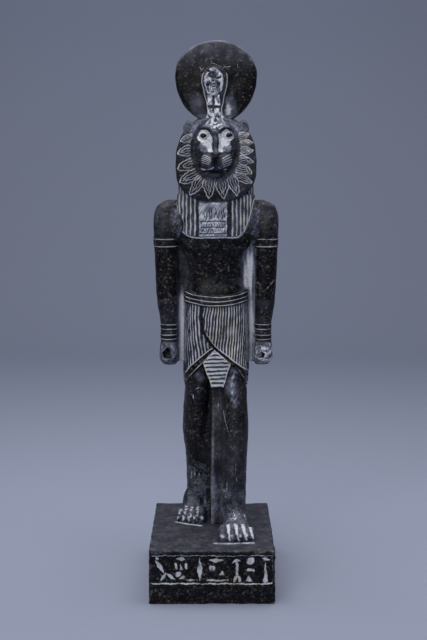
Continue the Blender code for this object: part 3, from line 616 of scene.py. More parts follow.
# (share of the length, share of the width, height)
FOOT_PROFILE = (
    (0.1, 0.9, 4.6), (0.22, 0.94, 6.6), (0.38, 0.88, 9), (0.54, 0.76, 12.5),
    (0.7, 0.68, 16.5), (0.9, 0.62, 14), (1, 0.42, 9))
TOE_SHARES = (0.29, 0.21, 0.19, 0.17, 0.14)
REAR_FOOT = (2.5, 39, -6, -23.5)
FORWARD_FOOT = (-34.9, 1.6, 0.6, 22.2)


# %% Feet and toes
def toes(inner, outer):
    """Number, inner edge and width of each toe of a foot, from the great toe outward."""
    edges = inner + (outer - inner) * np.cumsum((0,) + TOE_SHARES)
    return zip(range(len(TOE_SHARES)), edges, np.diff(edges))


def foot(toe_y, heel_y, inner, outer):
    """Upright half-oval sections from toe to heel, and five toes that shorten outward."""
    middle, half = (inner + outer) / 2, abs(outer - inner) / 2
    shares = np.linspace(0.1, 1, 40)
    wide, high = smoothed(FOOT_PROFILE, shares).T[:, :, None]
    turn = np.linspace(0, math.pi, 40)
    across = np.concatenate((np.cos(turn), np.linspace(-1, 1, 14)[1:-1]))
    up = np.concatenate((np.sin(turn) ** 0.9, np.full(12, -0.12)))
    px, pz = middle + half * wide * across, np.where(up < 0, -1, high * up)
    py = np.broadcast_to(toe_y + shares[:, None] * (heel_y - toe_y), px.shape)
    shells = [np.stack((px, py, np.broadcast_to(pz, px.shape)), -1)]
    for i, edge, width in toes(inner, outer):
        radii = (0.53 * abs(width), 8.6 - 0.4 * i, 6.2 - 0.4 * i)
        shells.append(ball((edge + width / 2, toe_y + radii[1] + 0.16 * i * i, 1.6), radii))
    return shells


# %% Legs
leg_heights = np.linspace(-1, 102, 150)
shells = [sections(REAR_LEG, leg_heights, 70), sections(FORWARD_LEG, leg_heights, 70)]
shells += foot(*REAR_FOOT) + foot(*FORWARD_FOOT)
shells.append(slab((-7.3, 15.2, -0.8), (5.3, 36.7, 98.7)))
web = slab((-3, -1, -0.7), (9.2, 35.4, 97.4))
lean = np.interp(web[..., 2], (-0.7, 40, 97.4), (3.4, 0, 9.2))
web[..., 1] += lean * (web[..., 1] < 10)
shells.append(web)
mesh, points = fused("legs", shells, 0.67)
x, y, z = points.T
KNEE, KNEE_RING = (-9.7, 76), 3.8
knee = line(np.hypot(x - KNEE[0], (z - KNEE[1]) / 1.3) - KNEE_RING, 0.75) * (y < 18)
knee *= 0.6 + 0.4 * mottle(x, y, z, 5, 14, 31)
points[:, 1] += 0.3 * np.clip(knee, 0, 1)
set_points(mesh, points)

# %% [markdown]
# ## Dust on the feet
#
# Dust fills the gaps between the toes and lies on their tips. The rear foot's has mostly worn off,
# which leaves it in patches.

# %% Toe dust
gaps, tips = np.zeros(x.shape), np.zeros(x.shape)
for toe_y, _, inner, outer in (REAR_FOOT, FORWARD_FOOT):
    near_toes = (y > toe_y - 1) & (y < toe_y + 12) & (np.abs(x - (inner + outer) / 2) < 13)
    for i, edge, width in toes(inner, outer):
        if i:
            slant = edge + math.copysign(0.05 + 0.09 * i, outer - inner) * (6.4 - z)
            wide = np.interp(z, (1, 4, 7.6), (0.5, 0.66, 1.05))
            gap = line(x - slant, wide, 1.4) * near_toes * within(z, 1.2, 7.4, 0.9)
            gap *= 0.55 + 0.9 * mottle(x, y, z, 0.9, 2.6, 38) if toe_y > 0 else 1
            gaps = np.maximum(gaps, gap)
        tip = np.hypot((x - edge - width / 2) / (0.27 * width), (z - 3.6) / 1.1)
        tips = np.maximum(tips, line(tip, 1, 1.3) * near_toes * (y < toe_y + 4))
ragged = 0.9 + 0.35 * mottle(x, y, z, 1.4, 5, 32)
instep = patch(x, z, (10.4, 10.6), (4.6, 2.6)) + patch(x, z, (16.4, 9.6), (2.6, 1.6))
instep *= 0.75 * (y < -12) * (0.5 + mottle(x, y, z, 1, 3.5, 36))
near_ground = within(z, 0, 8, 2) * ((y < -22) | ((x < -4) & (y < 16)))
ankle = 0.07 * within(z, 4, 30, 10) * (y < 27)
ankle += 0.18 * near_ground * (1 + 0.9 * mottle(x, y, z, 0.9, 3, 37))

# %% Scratches, haze and a painted highlight on the legs
front = y < 12
streak_path = bend(((11.4, 94), (10.6, 89), (8.8, 82), (10.4, 77), (12, 73)), 14)
streak = line(away_from(x, z, streak_path), 3.6) * front * (0.7 + 0.6 * mottle(x, y, z, 1, 3.6, 33))
# A pale streak down the left edge of the forward leg's web is a painted highlight, where light catches it.
width = np.interp(z, (24, 40), (2.1, 1))
lit_edge_streak = line(x + 2.5 - 0.015 * z, width, 1.2) * within(z, 4, 66, 10) * (y < 10)
lit_edge_streak *= np.interp(z, (20, 44), (1.1, 0.6)) + 0.4 * mottle(x, y, z, 3, 18, 34)
haze = most(
    0.4 * patch(x, z, (-9.8, 87.6), (5.2, 3), -42) * (y < 20),
    0.19 * patch(x, z, (8.6, 82), (6.4, 7)) * front, 0.5 * lit_edge_streak,
    0.1 * within(x, -2, 4, 1) * within(z, 3, 90, 6) * (y < 8),
    0.08 * (x > 2) * front * within(z, 0, 50, 24), 0.025 * (y < 30))
haze *= 1 + 0.4 * mottle(x, y, z, 3, 16, 35)
scratches = (
    ((1.1, 73), (1.3, 70.5), (1.9, 68)), ((4.2, 69.5), (5.2, 64), (6.4, 60), (7.8, 55.5)),
    ((11.6, 42), (11.4, 36), (11.8, 30)), ((6.6, 30), (5.8, 24)), ((-13.2, 31), (-12.8, 25)),
    ((-10.6, 30), (-9.9, 23.5)), ((-15, 28), (-14.8, 23)))
scratch = 0.8 * cuts(x, z, scratches, 0.5, 6) * (y < 22)
specks = np.maximum(within(z, 8, 30, 10) * within(x, -17, -6, 2) * (y < 27), within(z, 6, 24, 8) * (y < 8))
light = most(0.62 * streak, 0.2 * lit_edge_streak, gaps * ragged, 0.62 * tips * ragged, instep)
finish_piece("legs", mesh, most(0.92 * knee, scratch, 0.46 * specks), light + ankle, haze)

# %% [markdown]
# ## Body and arms
#
# The chest is broad and flat, the waist narrow, and the arms hang straight with a web of stone
# behind them. Each fist has a hole sunk into its front.

# %% Body and arm sections
TORSO = (
    (120, 0, 18, 4.5, 34, 2.6), (137, 0, 17.2, 6.6, 33, 2.6),
    (146, 0, 16.2, 8.2, 32.4, 2.6), (154, 0, 16.8, 7.6, 33, 2.6),
    (162, 0, 19.6, 6.4, 34.2, 2.6), (170, 0, 23.5, 5.6, 35.6, 2.6),
    (179, 0, 26, 7, 36, 2.6), (186, 0, 26, 10.5, 34.5, 2.6),
    (190.5, 0, 21, 13.5, 32, 2.6))
ARM = (
    (98, 27.8, 4.4, 10.5, 20, 2.4), (106, 27.8, 4.7, 9.4, 21.2, 2.4),
    (119.5, 27.8, 5, 9, 22, 2.4), (128, 28.2, 6, 8.6, 23.4, 2.4),
    (138, 28.6, 6.7, 8.4, 24.8, 2.4), (150, 28.9, 6.8, 8.6, 25.6, 2.4),
    (163, 29.3, 7, 8.6, 27, 2.4), (169, 29.3, 7.2, 8.4, 28, 2.4),
    (178.5, 28.8, 7.9, 9.4, 29.4, 2.4), (184.5, 28, 7.8, 11.4, 28.8, 2.4),
    (188.5, 27, 6.2, 13.6, 26.6, 2.4), (190.8, 25.4, 3.2, 16, 24, 2.4))
FIST = (
    (94.4, 27.2, 3.8, 9.2, 21, 2.6), (96.8, 27.6, 5.2, 7.2, 23, 2.8),
    (103, 27.8, 5.4, 6.6, 24, 2.8), (107.6, 27.8, 4.9, 8, 22, 2.6))
# (side, middle x, z, hole's radius, strength of the dust on its rim)
HOLES = ((-1, -28.6, 101.3, 2.7, 0.5), (1, 26.6, 100.5, 1.8, 1))
HOLE_DEPTH = 4.2


def mirrored(rings):
    """The same rings on the figure's other side."""
    return rings * (-1, 1, 1)


# %% Body
shells = [sections(TORSO, np.linspace(120, 190.5, 100), 130)]
for side in (-1, 1):
    shells.append(ball((side * 10.5, 11.8, 166.5), (10, 5, 6), 30, 50))
    shells.append(ball((side * 21.6, 14.6, 176.4), (8.4, 6.4, 10.4), 30, 50))
arm = [sections(ARM, np.linspace(98, 190.8, 150), 70), sections(FIST, np.linspace(94.4, 107.6, 24), 60),
       ball((25, 9, 101), (2.4, 5, 5.6)), slab((14, 17.3, 95.2), (26.3, 24.7, 165.3))]
shells += arm + [mirrored(part) for part in arm]
mesh, points = fused("body", shells, 0.67)
x, y, z = points.T
points[:, 1] += 0.7 * patch(x, z, (1.7, 143.2), (1.4, 1.2)) * (y < 12)
for _, hole_x, hole_z, hole, _ in HOLES:
    points[:, 1] += HOLE_DEPTH * step(hole + 1.1 - np.hypot(x - hole_x, z - hole_z), 0, 0.8) * (y < 12)
set_points(mesh, points)

# %% [markdown]
# ## Dust on the body
#
# The webs behind the arms are rough and hold most of the dust, the left one so much that it is
# nearly white. Dust also lies on the fists, in the bends of the elbows and beside the headcloth.

# %% Dust in the webs
deep = step(y, 9.5, 14) * within(z, 95, 168, 3)
patchy = mottle(x, y, 0.5 * z, 2, 14, 41)
middle = np.where(x < 0, -20.2, np.interp(z, (134, 150), (21, 19.4)))
beside = line(x - middle, np.where(z > 140, 3.4, 2.4), 1.2)
ripple = 0.16 * np.sin(2.4 * x + 0.12 * z + 1.6 * mottle(x, y, 0.4 * z, 5, 16, 47)) * (z > 136)
left = within(x, 15.8, 23, 1.4) * deep * (0.34 + 0.6 * beside + 0.3 * patchy + ripple)
right = 0.06 + 0.12 * patchy + (0.16 + 0.8 * beside) * step(-z, -142, -132)
right *= within(-x, 15.8, 23, 1.4) * deep

# %% Dust on the limbs, and painted top light on the shoulders
fist = within(np.abs(x), 22.5, 33.5, 1) * within(z, 95.5, 107, 1.5) * (y < 11)
knuckles = fist * np.where(x < 0, 0.32, 0.56) * (1 + 0.8 * mottle(x, y, z, 1.2, 5, 42))
folds = (((23.4, 141.6), (26.4, 137.6), (30.2, 140.2), (34.2, 144.4)),
         ((-33.6, 143.4), (-29.6, 140.2), (-26, 137.4), (-23.4, 139.4)))
elbow = cuts(x, z, folds, 1, 10) * (y < 16) * np.where(x < 0, 0.4, 0.6)
elbow *= 1 + 0.3 * mottle(x, y, z, 2, 8, 43)
breasts = (((-19.2, 168.4), (-14, 163.5), (-4.7, 163.9)), ((5.2, 165.5), (9.8, 163.2), (17.4, 163.5)))
breast = 0.22 * cuts(x, z, breasts, 1.3, 10) * (y < 14)
# Haze and pale specks grow towards the shoulders' tops: dust and painted top light.
shoulder_dust_and_top_light = step(z, 165, 184) * (y < 24)
by_fall = 0.22 * within(np.abs(x), 21, 24.5, 2) * within(z, 172, 192, 6) * (y < 16)
by_fall *= 1 + mottle(x, y, z, 1, 3.6, 44)
specks = np.maximum(0.3 * shoulder_dust_and_top_light, 0.36 * (y < 14) * within(z, 138, 145, 3) * (np.abs(x) < 12))
webs = np.where(x < 0, 0.1, 0.26) * deep * (np.abs(x) < 24)
haze = most(0.11 * shoulder_dust_and_top_light, 0.2 * fist, 0.05 * (z < 133), webs)
haze *= 1 + 0.6 * mottle(x, y, z, 1.5, 12, 45)
finish_piece("body", mesh, np.maximum(elbow, specks), most(left, right, knuckles, breast, by_fall), haze)

# %% [markdown]
# ## Armlets, bracelets, belt and the rims of the holes
#
# Thin grooved bands run round the arms and waist. Each is a short sleeve on the same sections as
# the limb under it, a little proud of it, with V-shaped cuts at chosen heights. The hole in each
# fist is a cup with a worn, dusty rim: a profile turned round its middle.


# %% Bands
def unit(arrows):
    """Arrows of length 1 that point the same ways."""
    return arrows / np.linalg.norm(arrows, axis=-1, keepdims=True)


def band(name, table, low, high, lines, stand, side=1, sag=0, count=150):
    """A sleeve between two heights with cuts at some heights, its ends hidden in the limb.

    sag lets its front hang: points rise by sag at the sides and behind, and by sag * (x / 18)^2
    in front.
    """
    heights = np.concatenate(([low], np.arange(low, high, 0.17), [high]))
    rings = sections(table, heights, count, stand)
    rings[[0, -1]] = sections(table, heights[[0, -1]], count, -1)
    depth = most(*(line(heights - at, 0.6) for at in lines))
    rings[..., :2] -= 0.32 * depth[:, None, None] * unit((rings - rings.mean(1, keepdims=True))[..., :2])
    if sag:
        forward = step(-rings[..., 1], -18, -8)
        rings[..., 2] += sag * (np.clip((rings[..., 0] / 18) ** 2, 0, 1) * forward + (1 - forward))
    if side < 0:
        rings = mirrored(rings)
    faded = 0.86 + 0.16 * mottle(*rings.transpose(2, 0, 1), 2, 12, 46)
    carved(name, rings, depth[:, None] * faded, 0, 0.02)


SIDES = ((-1, "right"), (1, "left"))
for side, word in SIDES:
    band(f"{word} armlet", ARM, 163.2, 169.2, (168.2, 164), 0.3, side)
    band(f"{word} upper bracelet", ARM, 114.9, 118.8, (118.2, 115.5), 0.3, side)
    band(f"{word} lower bracelet", ARM, 108.9, 112.6, (112, 109.5), 0.3, side)

# %% Holes in the fists
turn = np.linspace(0, math.tau, 48, endpoint=False)
for side, hole_x, hole_z, hole, strength in HOLES:
    # (reach beyond the hole's radius, y)
    profile = ((1.3, 13), (1.3, 7.6), (1.1, 6.6), (0.7, 6.2), (0.2, 6.4), (0, 7.4), (-0.2, 10),
               (1 - hole, 10.2))
    wobble = 1 + 0.1 * np.sin(2 * turn + side) + 0.08 * np.sin(5 * turn)
    cup = np.array([np.stack((hole_x + (hole + r) * wobble * np.cos(turn), np.full(len(turn), depth),
                              hole_z + (hole + r) * wobble * np.sin(turn)), -1) for r, depth in profile])
    rim = strength * (cup[..., 1] < 7) * (0.85 + 0.25 * np.sin(3 * turn + 1))
    carved(f"{'right' if side < 0 else 'left'} rod", cup, 0, rim)

# %% Belt
band("belt", TORSO, 129, 135.7, (134.7, 132.2, 129.9), 1.7, sag=2.6, count=320)

# %% [markdown]
# ## Kilt
#
# The wrap kilt is one pleated cloth, carved as a fluted skin. Its hem rises to the middle, and the
# flap that lies on top ends in a curved edge. The skin runs from the waist to the hem, whose
# height is a function of x, and the upper flap stands 0.7 mm proud behind its edge.

# %% Kilt sections and edges
WAIST, FLAP_STANDS = 132, 0.7
KILT = (
    (78, 0, 18.3, 3, 36, 2.9), (90, 0, 18.8, 2.6, 36, 2.9),
    (104, 0, 19, 2.8, 35.6, 2.9), (118, 0, 18.8, 3.8, 35, 2.8),
    (131, 0, 18.2, 5.4, 34, 2.7))
PLEATS, PLEAT_POINTS = 66, 6
OVER_EDGE = (
    (-8.6, 134), (-8.5, 128.7), (-8.2, 122.8), (-7.7, 115.7), (-6.1, 111.5), (-2.8, 107.3), (0.1, 104.4),
    (4.2, 101), (8.4, 97.6), (12.4, 94.3), (16.6, 91.3), (19.4, 88))
# (x, z) of the lower edge in front, and of the line above it where the pleats end
HEM = (
    (-20.6, 80.6), (-18.4, 83.7), (-16.4, 87.1), (-12.7, 91.3), (-9.4, 94.8), (-4, 100.2), (-0.7, 103.6),
    (5.8, 98.8), (10.5, 95), (12, 93.5), (14.5, 90.9), (16.6, 87.5), (17.6, 85), (20.6, 81))
PLEAT_END = (
    (-20.6, 85.5), (-18.4, 89.6), (-15.1, 94.3), (-10.6, 98.5), (-7, 101.4), (-3.6, 104.2), (-1.4, 105.4),
    (0.1, 105.4), (4.2, 102.2), (8.4, 98.9), (12.4, 95.6), (16.6, 92.5), (20.6, 88.2))
BACK_HEM, BACK_PLEAT_END = 81, 83.4


def edge_height(x, y, path, behind):
    """Height of an edge of the kilt: straight between points in front, and level behind."""
    front = np.interp(x, *np.array(path).T)
    return front + (behind - front) * step(y, 12, 20)


# %% Kilt skin
count = PLEAT_POINTS * PLEATS
flat = sections(KILT, [96], count)[0]
hems = edge_height(flat[:, 0], flat[:, 1], HEM, BACK_HEM)
pleat_ends = edge_height(flat[:, 0], flat[:, 1], PLEAT_END, BACK_PLEAT_END)
heights = WAIST + (hems - WAIST) * np.linspace(0, 1, 140)[:, None]
rings = section_points(KILT, heights, round_angles(count, 0.87, 2.85))
x, y = rings[..., 0].copy(), rings[..., 1].copy()
hx, hz = by_hand(x, heights, 0.14)
edge_x = np.interp(heights, [p[1] for p in OVER_EDGE[::-1]], [p[0] for p in OVER_EDGE[::-1]])
over = step(hx - edge_x, -0.15, 0.15) * (1 - step(y, 16, 20)) + step(y, 16, 20)

# %% Pleats
# Turns of the pleats: the under flap's are wider and lean the other way
lean = np.where(over > 0.5, -0.045, 0.052) * (1 - step(y, 14, 18))
pace = np.where(y > 16, 1, np.where(over > 0.5, 1.09, 0.86))
turn = pace * np.arange(count) / PLEAT_POINTS + lean * (heights - 104)
turn += 0.2 * mottle(x, y, heights, 5, 30, 51)
pleat = (0.5 - 0.5 * np.cos(math.tau * turn)) * np.where(np.floor(turn) % 2 > 0, 1, 0.84)
pleat *= step(heights - pleat_ends, 0.2, 0.7)
filled = patch(x, heights, (9.2, 114.6), (4, 3.8)) * (y < 12)
end_line = line(heights - pleat_ends + 0.2 * hx - 0.2 * x, 0.75, 1.15)
hem_line = line(heights - hems - 0.5, 0.7, 1.1) * (0.95 + 0.2 * mottle(x, y, heights, 3, 12, 52))
border = step(pleat_ends - heights, 0.3, 0.8) * (1 - step(hems + 0.9 - heights, 0, 0.4))
from_edge = away_from(hx, hz, bend(OVER_EDGE, 60))
groove = (1 - step(from_edge, 0.6, 0.95)) * (y < 16)
beyond = line(from_edge - 1.3, 0.5, 1.1) * (y < 14) * (over > 0.5) * step(118 - heights, 0, 6)
tone = np.where(over > 0.5, 0.95, 0.85) + 0.22 * mottle(x, y, 0.6 * heights, 2, 12, 53)
carving = most(pleat * tone, 0.9 * end_line, 0.85 * hem_line, 0.85 * beyond) * (1 - groove)

# %% Kilt
# The left side is pushed forward by the leg that strides
push = 5.5 * (1 - step(heights, 84, 112)) * step(-y, -19, -13)
push *= np.clip(1 - ((x - 12.5) / 9.5) ** 2, 0, 1)
sunk = FLAP_STANDS * over - 0.5 * pleat * (1 - 0.8 * filled) - 0.45 * border - 0.5 * groove
rings[..., :2] += unit(np.stack((x, y - 19), -1)) * sunk[..., None]
rings[..., 1] -= push
inner = sections(KILT, [104, 104], count, -2.2)
inner[..., 2] = [hems - 0.1, hems + 4]
inner[0, :, 1] -= push[-1]
rings = np.concatenate((rings, inner))
unseen = np.zeros((2, count))
side_dust = within(np.abs(rings[..., 0]), 17.9, 20, 0.8) * (rings[..., 1] < 18) * (rings[..., 2] > 96)
haze = np.concatenate((0.08 * (1 - border) * (1 - groove) + 0.4 * filled, unseen))
carved("kilt", rings, np.concatenate((carving, unseen)), 0.5 * side_dust, haze)

# %% [markdown]
# ## Apron
#
# A narrow tab hangs between the flaps, folded in nine level folds. It is widest two thirds of the
# way up and drawn in above and below. Its front and back are one loop of points at each height.

# %% Apron
APRON_LOW, APRON_TOP, FOLDS = 82.6, 103.6, 9


def front_and_back(front_count, back_count):
    """Shares from -1 to 1 across a front and back again, and 0 on the front and 1 on the back."""
    across = np.concatenate((np.linspace(-1, 1, front_count), np.linspace(1, -1, back_count)))
    return across, np.concatenate((np.zeros(front_count), np.ones(back_count)))


shares = np.linspace(0, 1, 130)[:, None]
middle = np.interp(shares, (0, 0.66, 1), (0.8, 0.5, -0.7))
half = np.interp(shares, (0, 0.66, 1), (3.6, 8.2, 0.5))
front = 0.6 + 1.2 * shares - 0.45 * (0.5 + 0.5 * np.cos(math.tau * FOLDS * shares))
across, deep = front_and_back(90, 12)
x = middle + half * across
y = front + 0.4 * np.abs(across) ** 6 + deep * (14 - front)
z = np.broadcast_to(APRON_LOW + (APRON_TOP - APRON_LOW) * shares, x.shape)
rim = line(half * (1 - np.abs(across)) - 0.45, 0.7, 1.1)
sway = 0.1 * mottle(x, y, z, 3, 14, 61) - 0.012 * x
wavy = 0.5 + 0.5 * np.cos(math.tau * (FOLDS * shares + sway))
tone = 0.9 + 0.12 * mottle(x, y, z, 1.5, 8, 62)
carved("apron", np.stack((x, y, z), -1), np.maximum(rim, 1 - wavy ** 2) * tone * (1 - deep), 0, 0.08)

# %% [markdown]
# ## Back pillar
#
# A plain pillar runs up the back, as on most figures of this kind.

# %% Back pillar
carved("back pillar", slab((-10, 31, -0.6), (10, 44.5, 176), 0.8))

# %% [markdown]
# ## Headcloth and its fall
#
# The striped cloth covers the head and falls over the chest on both sides of a plain square
# that holds rows of tiny strokes. The fall is a shallow slab with level rings, as wide at each
# height as its outline, and its stripes are ridges across it.

# %% Headcloth
WIG = (
    (168, 0, 20.5, 20, 38.2, 2.8), (180, 0, 21.5, 14, 38.6, 2.7),
    (192, 0, 22, 10, 38, 2.5), (208, 0, 22.2, 9, 37.6, 2.4),
    (222, 0, 20.8, 9, 36.4, 2.3), (231, 0, 17.2, 10, 33.6, 2.2),
    (237, 0, 12, 12.5, 29, 2.1), (240, 0, 6, 15.5, 25, 2))
STRIPES, STRIPE_POINTS = 48, 8
rings = sections(WIG, np.linspace(168, 240, 76), STRIPES * STRIPE_POINTS)
stripe = 0.5 - 0.5 * np.cos(math.tau * np.arange(STRIPES * STRIPE_POINTS) / STRIPE_POINTS)
stripe = np.broadcast_to(stripe, rings.shape[:2])
rings[..., :2] -= 0.35 * stripe[..., None] * unit(rings[..., :2] - rings[..., :2].mean(1, keepdims=True))
carved("headcloth", rings, 0.92 * stripe, 0, 0.16)

# %% Fall outline
FALL_STRIPES = (-21.2, -19.2, -17.1, -14.7, -12.2, 9.5, 11.9, 14.2, 16.2, 18.1, 19.9)
FALL_RIM = bend((
    (-22.6, 190), (-22, 178), (-20.6, 174.2), (-17.6, 171.4), (-14, 169.6), (-4, 169.3),
    (5, 169.5), (12.6, 169.6), (15.6, 172.4), (17.8, 176.4), (19.6, 182), (21, 187),
    (22.2, 192)), 60)
z = np.linspace(168.6, 194, 124)[:, None]
right_half = np.interp(z, (168.6, 169.4, 172.1, 176.1, 187.6), (12.6, 15.2, 19.2, 22, 22.6))
left_half = np.interp(z, (168.6, 170.2, 174.4, 180, 185.9, 190.5), (12.6, 15.4, 18.3, 20.2, 21.6, 22.4))
across, deep = front_and_back(280, 20)
x = np.where(across < 0, right_half, left_half) * across
z = np.broadcast_to(z, x.shape)
hx, hz = by_hand(x, z, 0.13)
rim = line(away_from(hx, hz, FALL_RIM), 0.75)
inside = step(hz - np.interp(hx, FALL_RIM[:, 0], FALL_RIM[:, 1]), 0.5, 1.1)
stripes = most(*(line(x + 0.3 * (hx - x) - at, 1.1) for at in FALL_STRIPES)) * inside

# %% Strokes in the square
# (left, right, low, high) of the square, and (low, high, number, half width, start) of each row
SQUARE = (-9.7, 6.1, 170.4, 189.4)
ROWS = ((179.4, 186.8, 9, 0.42, -7.6), (176, 177.8, 10, 0.36, -9), (172.6, 174.8, 11, 0.36, -9))
ROWS_END = 5.6
square = within(hx, SQUARE[0], SQUARE[1], 0.5) * within(hz, SQUARE[2], SQUARE[3], 0.4)
rng = np.random.default_rng(7)
between = (((-8.6, 178.6), (5.4, 178.8)), ((-8.8, 175.4), (5.6, 175.5)), ((-9.4, 171.7), (5.8, 171.6)))
marks = cuts(hx, hz, between, 0.55)
for low, high, number, wide, start in ROWS:
    for i in range(number):
        at = start + (ROWS_END - start) / number * (i + 0.5) + rng.uniform(-0.3, 0.3)
        top = high - (high - low) * rng.uniform(0, 0.5)
        bottom = low + (high - low) * rng.uniform(0, 0.3)
        tilt = rng.uniform(-0.45, 0.45)
        marks = np.maximum(marks, cuts(x, z, [((at - tilt, bottom), (at + tilt, top))], wide))

# %% Fall
y = 4.6 + 0.0105 * x * x + 0.42 * stripes + 0.3 * rim + 0.2 * square + 0.3 * marks * square + deep * 11.4
carving = np.maximum(stripes * (0.9 + 0.16 * mottle(x, y, z, 2, 10, 71)), 0.9 * rim) * (1 - deep)
grime = 0.74 + 0.2 * mottle(x, y, z, 1.5, 8, 72)
dust = np.maximum(square * (grime - 0.7 * marks), 0.3 * (1 - inside)) * (1 - deep)
bars = np.maximum(within(x, 6.6, 8.4, 0.6), within(x, -11.2, -10, 0.4))
haze = (0.2 - 0.14 * bars) * (1 + 0.3 * mottle(x, y, z, 1.5, 9, 73)) * (1 - deep)
carved("fall", np.stack((x, y, z), -1), carving, dust, haze)

# %% [markdown]
# ## Mane
#
# A lion's mane is carved as a domed ruff of leaf-shaped locks. The dome is rings from the back
# over the rim to the middle, and each lock is a low swelling with cut outlines and veins.

# %% Locks
# Leaf-shaped locks as (tip, root, half width)
LOCKS = (
    ((-20.4, 224.6), (-13.6, 227), 2.2), ((-22.4, 217.3), (-12, 220.6), 2.8),
    ((-22.4, 209), (-10.8, 212.8), 3.4), ((-21.3, 200.9), (-9, 207.6), 3.2),
    ((-14.9, 193.7), (-7.6, 205.2), 2.9), ((-3.9, 192.4), (-4.6, 204.6), 3.3),
    ((4.4, 192.1), (3, 204.6), 3.6), ((12.2, 193.8), (8.4, 205.4), 2.9),
    ((20.4, 200.9), (10.8, 206), 2.4), ((20.6, 206.6), (11.6, 209.8), 2.4),
    ((21.6, 212.8), (12, 214.4), 2.5), ((21.4, 219.6), (12.8, 218.8), 2.1),
    ((20.6, 224), (13.2, 222.8), 1.9), ((18.8, 229), (12.8, 226.6), 2.2))


# %% Forms of a lock
def lock_forms(x, z, tip, root, half):
    """A lock's two bowed edges and its veins, as paths from root to tip, and how far it swells.

    The swelling is 1 - u^2 - v^2, with u along the lock and v across it.
    """
    tip, root = np.array(tip), np.array(root)
    along = tip - root
    length = np.hypot(*along)
    beside = np.array((-along[1], along[0])) / length
    edges = [bend([root + sign * 0.55 * half * beside, root + 0.35 * along + sign * half * beside,
                   root + 0.75 * along + sign * 0.62 * half * beside, tip], 12) for sign in (-1, 1)]
    veins = [bend([root + share * 0.3 * half * beside, root + 0.4 * along + share * 0.5 * half * beside,
                   root + stop * along + share * 0.16 * half * beside], 8)
             for share, stop in ((-0.9, 0.76), (0.12, 0.84), (1.1, 0.7))]
    u = ((x - root[0]) * along[0] + (z - root[1]) * along[1]) / length ** 2
    v = ((x - root[0]) * along[1] - (z - root[1]) * along[0]) / length / half
    return edges, veins, np.clip(1 - (2 * u - 0.9) ** 2 - v * v, 0, 1)


# %% Brows and forehead hair
HEAD_AXIS = -0.5
BROW = ((14, 227.5), (12.2, 231.4), (7.8, 234.2), (3.8, 233.2), (1.6, 230.4))
BROWS = [bend([(HEAD_AXIS + side * a, b) for a, b in BROW], 14) for side in (-1, 1)]
HAIRS = [((HEAD_AXIS + side * a, b), (HEAD_AXIS + side * c, d)) for side in (-1, 1) for a, b, c, d in (
    (2.4, 234.6, 6.6, 232.6), (4.2, 236.4, 9, 233.8), (7, 236.8, 11.6, 232.6), (10, 235.6, 13.4, 230.6),
    (12.2, 233.6, 14.8, 228.4), (8.6, 238.2, 12.8, 234.6))]


def brow_dust(x, z):
    """Grey dust on the two brow ridges and the hair combed out from the forehead."""
    ridge = np.minimum(away_from(x, z, BROWS[0]), away_from(x, z, BROWS[1]))
    return 0.42 * np.clip(1.5 - ridge / 1.5, 0, 1) * (0.9 + 0.4 * mottle(x, 0 * x, z, 1.2, 6, 83))


# %% Mane outline
def dome(outline, shares, count, power=1):
    """x and z of rings that share a flattened round's outline.

    The outline is (middle x, middle z, half width, height above and below). At a turn from the top
    a point is (half |sin| ^ power, height |cos| ^ power) from the middle, with their signs.
    """
    middle_x, middle_z, half, above, below = outline
    turn = np.linspace(0, math.tau, count, endpoint=False)
    sin, cos = np.sin(turn), np.cos(turn)
    x = middle_x + half * shares * signed_power(sin, power)
    return x, middle_z + np.where(cos > 0, above, below) * shares * signed_power(cos, power)


# (share of the outline, y), from the back round the rim
MANE_SIDE = (
    (0.3, 16.5), (0.97, 16.5), (1, 15.5), (1, 12), (1, 8.5), (1, 6.6), (0.997, 5.6), (0.99, 4.8),
    (0.978, 4.2))
inner = np.linspace(0.96, 0.02, 98)
swell = 0.6 + 3 * inner ** 3 + 0.3 * step(inner, 0.88, 0.97)
shares, depth = np.vstack((MANE_SIDE, np.column_stack((inner, swell)))).T[:, :, None]
x, z = dome((0, 210, 23.3, 28, 20), shares, 520, 2 / 2.5)
level = 0 * x
front = step(-depth, -5.2, -4.4) + level
print("mane of", x.shape[0], "rings of", x.shape[1], "points")

# %% Mane
hx, hz = by_hand(x, z, 0.22)
edges, veins, swells = zip(*(lock_forms(hx, hz, *lock) for lock in LOCKS))
outline, vein = cuts(hx, hz, sum(edges, []), 0.7), cuts(hx, hz, sum(veins, []), 0.54)
rise = most(*swells)
FACE = (-0.4, 219.4, 12.1, 15.8, 15.8)
round_face = np.hypot((x - FACE[0]) / FACE[2], (z - FACE[1]) / FACE[3])
moat = np.exp(-((round_face - 1.06) / 0.09) ** 2)
strength = 1 + 0.14 * mottle(x, level, z, 2.5, 12, 81)
cut = np.maximum(outline, 0.88 * vein) * strength * (1 - 0.8 * moat)
cut = np.maximum(cut, 0.62 * cuts(hx, hz, HAIRS, 0.5))
tufts = mottle(3 * x, level, 3 * z, 4, 12, 82)
behind_face = 3 * step(1 - round_face, 0, 0.07)
y = depth - front * (0.9 * rise - 0.55 * np.maximum(outline, vein) - 2.2 * moat + 0.12 * tufts - behind_face)
chin = patch(x, z, (-0.4, 202), (9.5, 5.6)) * (1 - 0.7 * outline)
combed = 0.5 + 0.5 * np.sin(2.6 * np.abs(x) - 1.7 * z + 2 * mottle(x, level, z, 3, 9, 84))
haze = 0.05 + 0.06 * (x > 4) + 0.2 * step(z, 225, 231) * (0.5 + combed)
haze += 0.1 * within(round_face, 1, 1.3, 0.15)
dust = np.maximum(0.42 * chin, brow_dust(x, z)) * front
carved("mane", np.stack((x, y, z), -1), cut * front, dust, haze * front)

# %% [markdown]
# ## Face and ears
#
# The lion's face is a dome with forms on it: brow, eyes, cheeks, a long flat nose, two whisker
# pads and a chin. Each form is a rounded rise (1 - r^2)^1.2 over an ellipse.

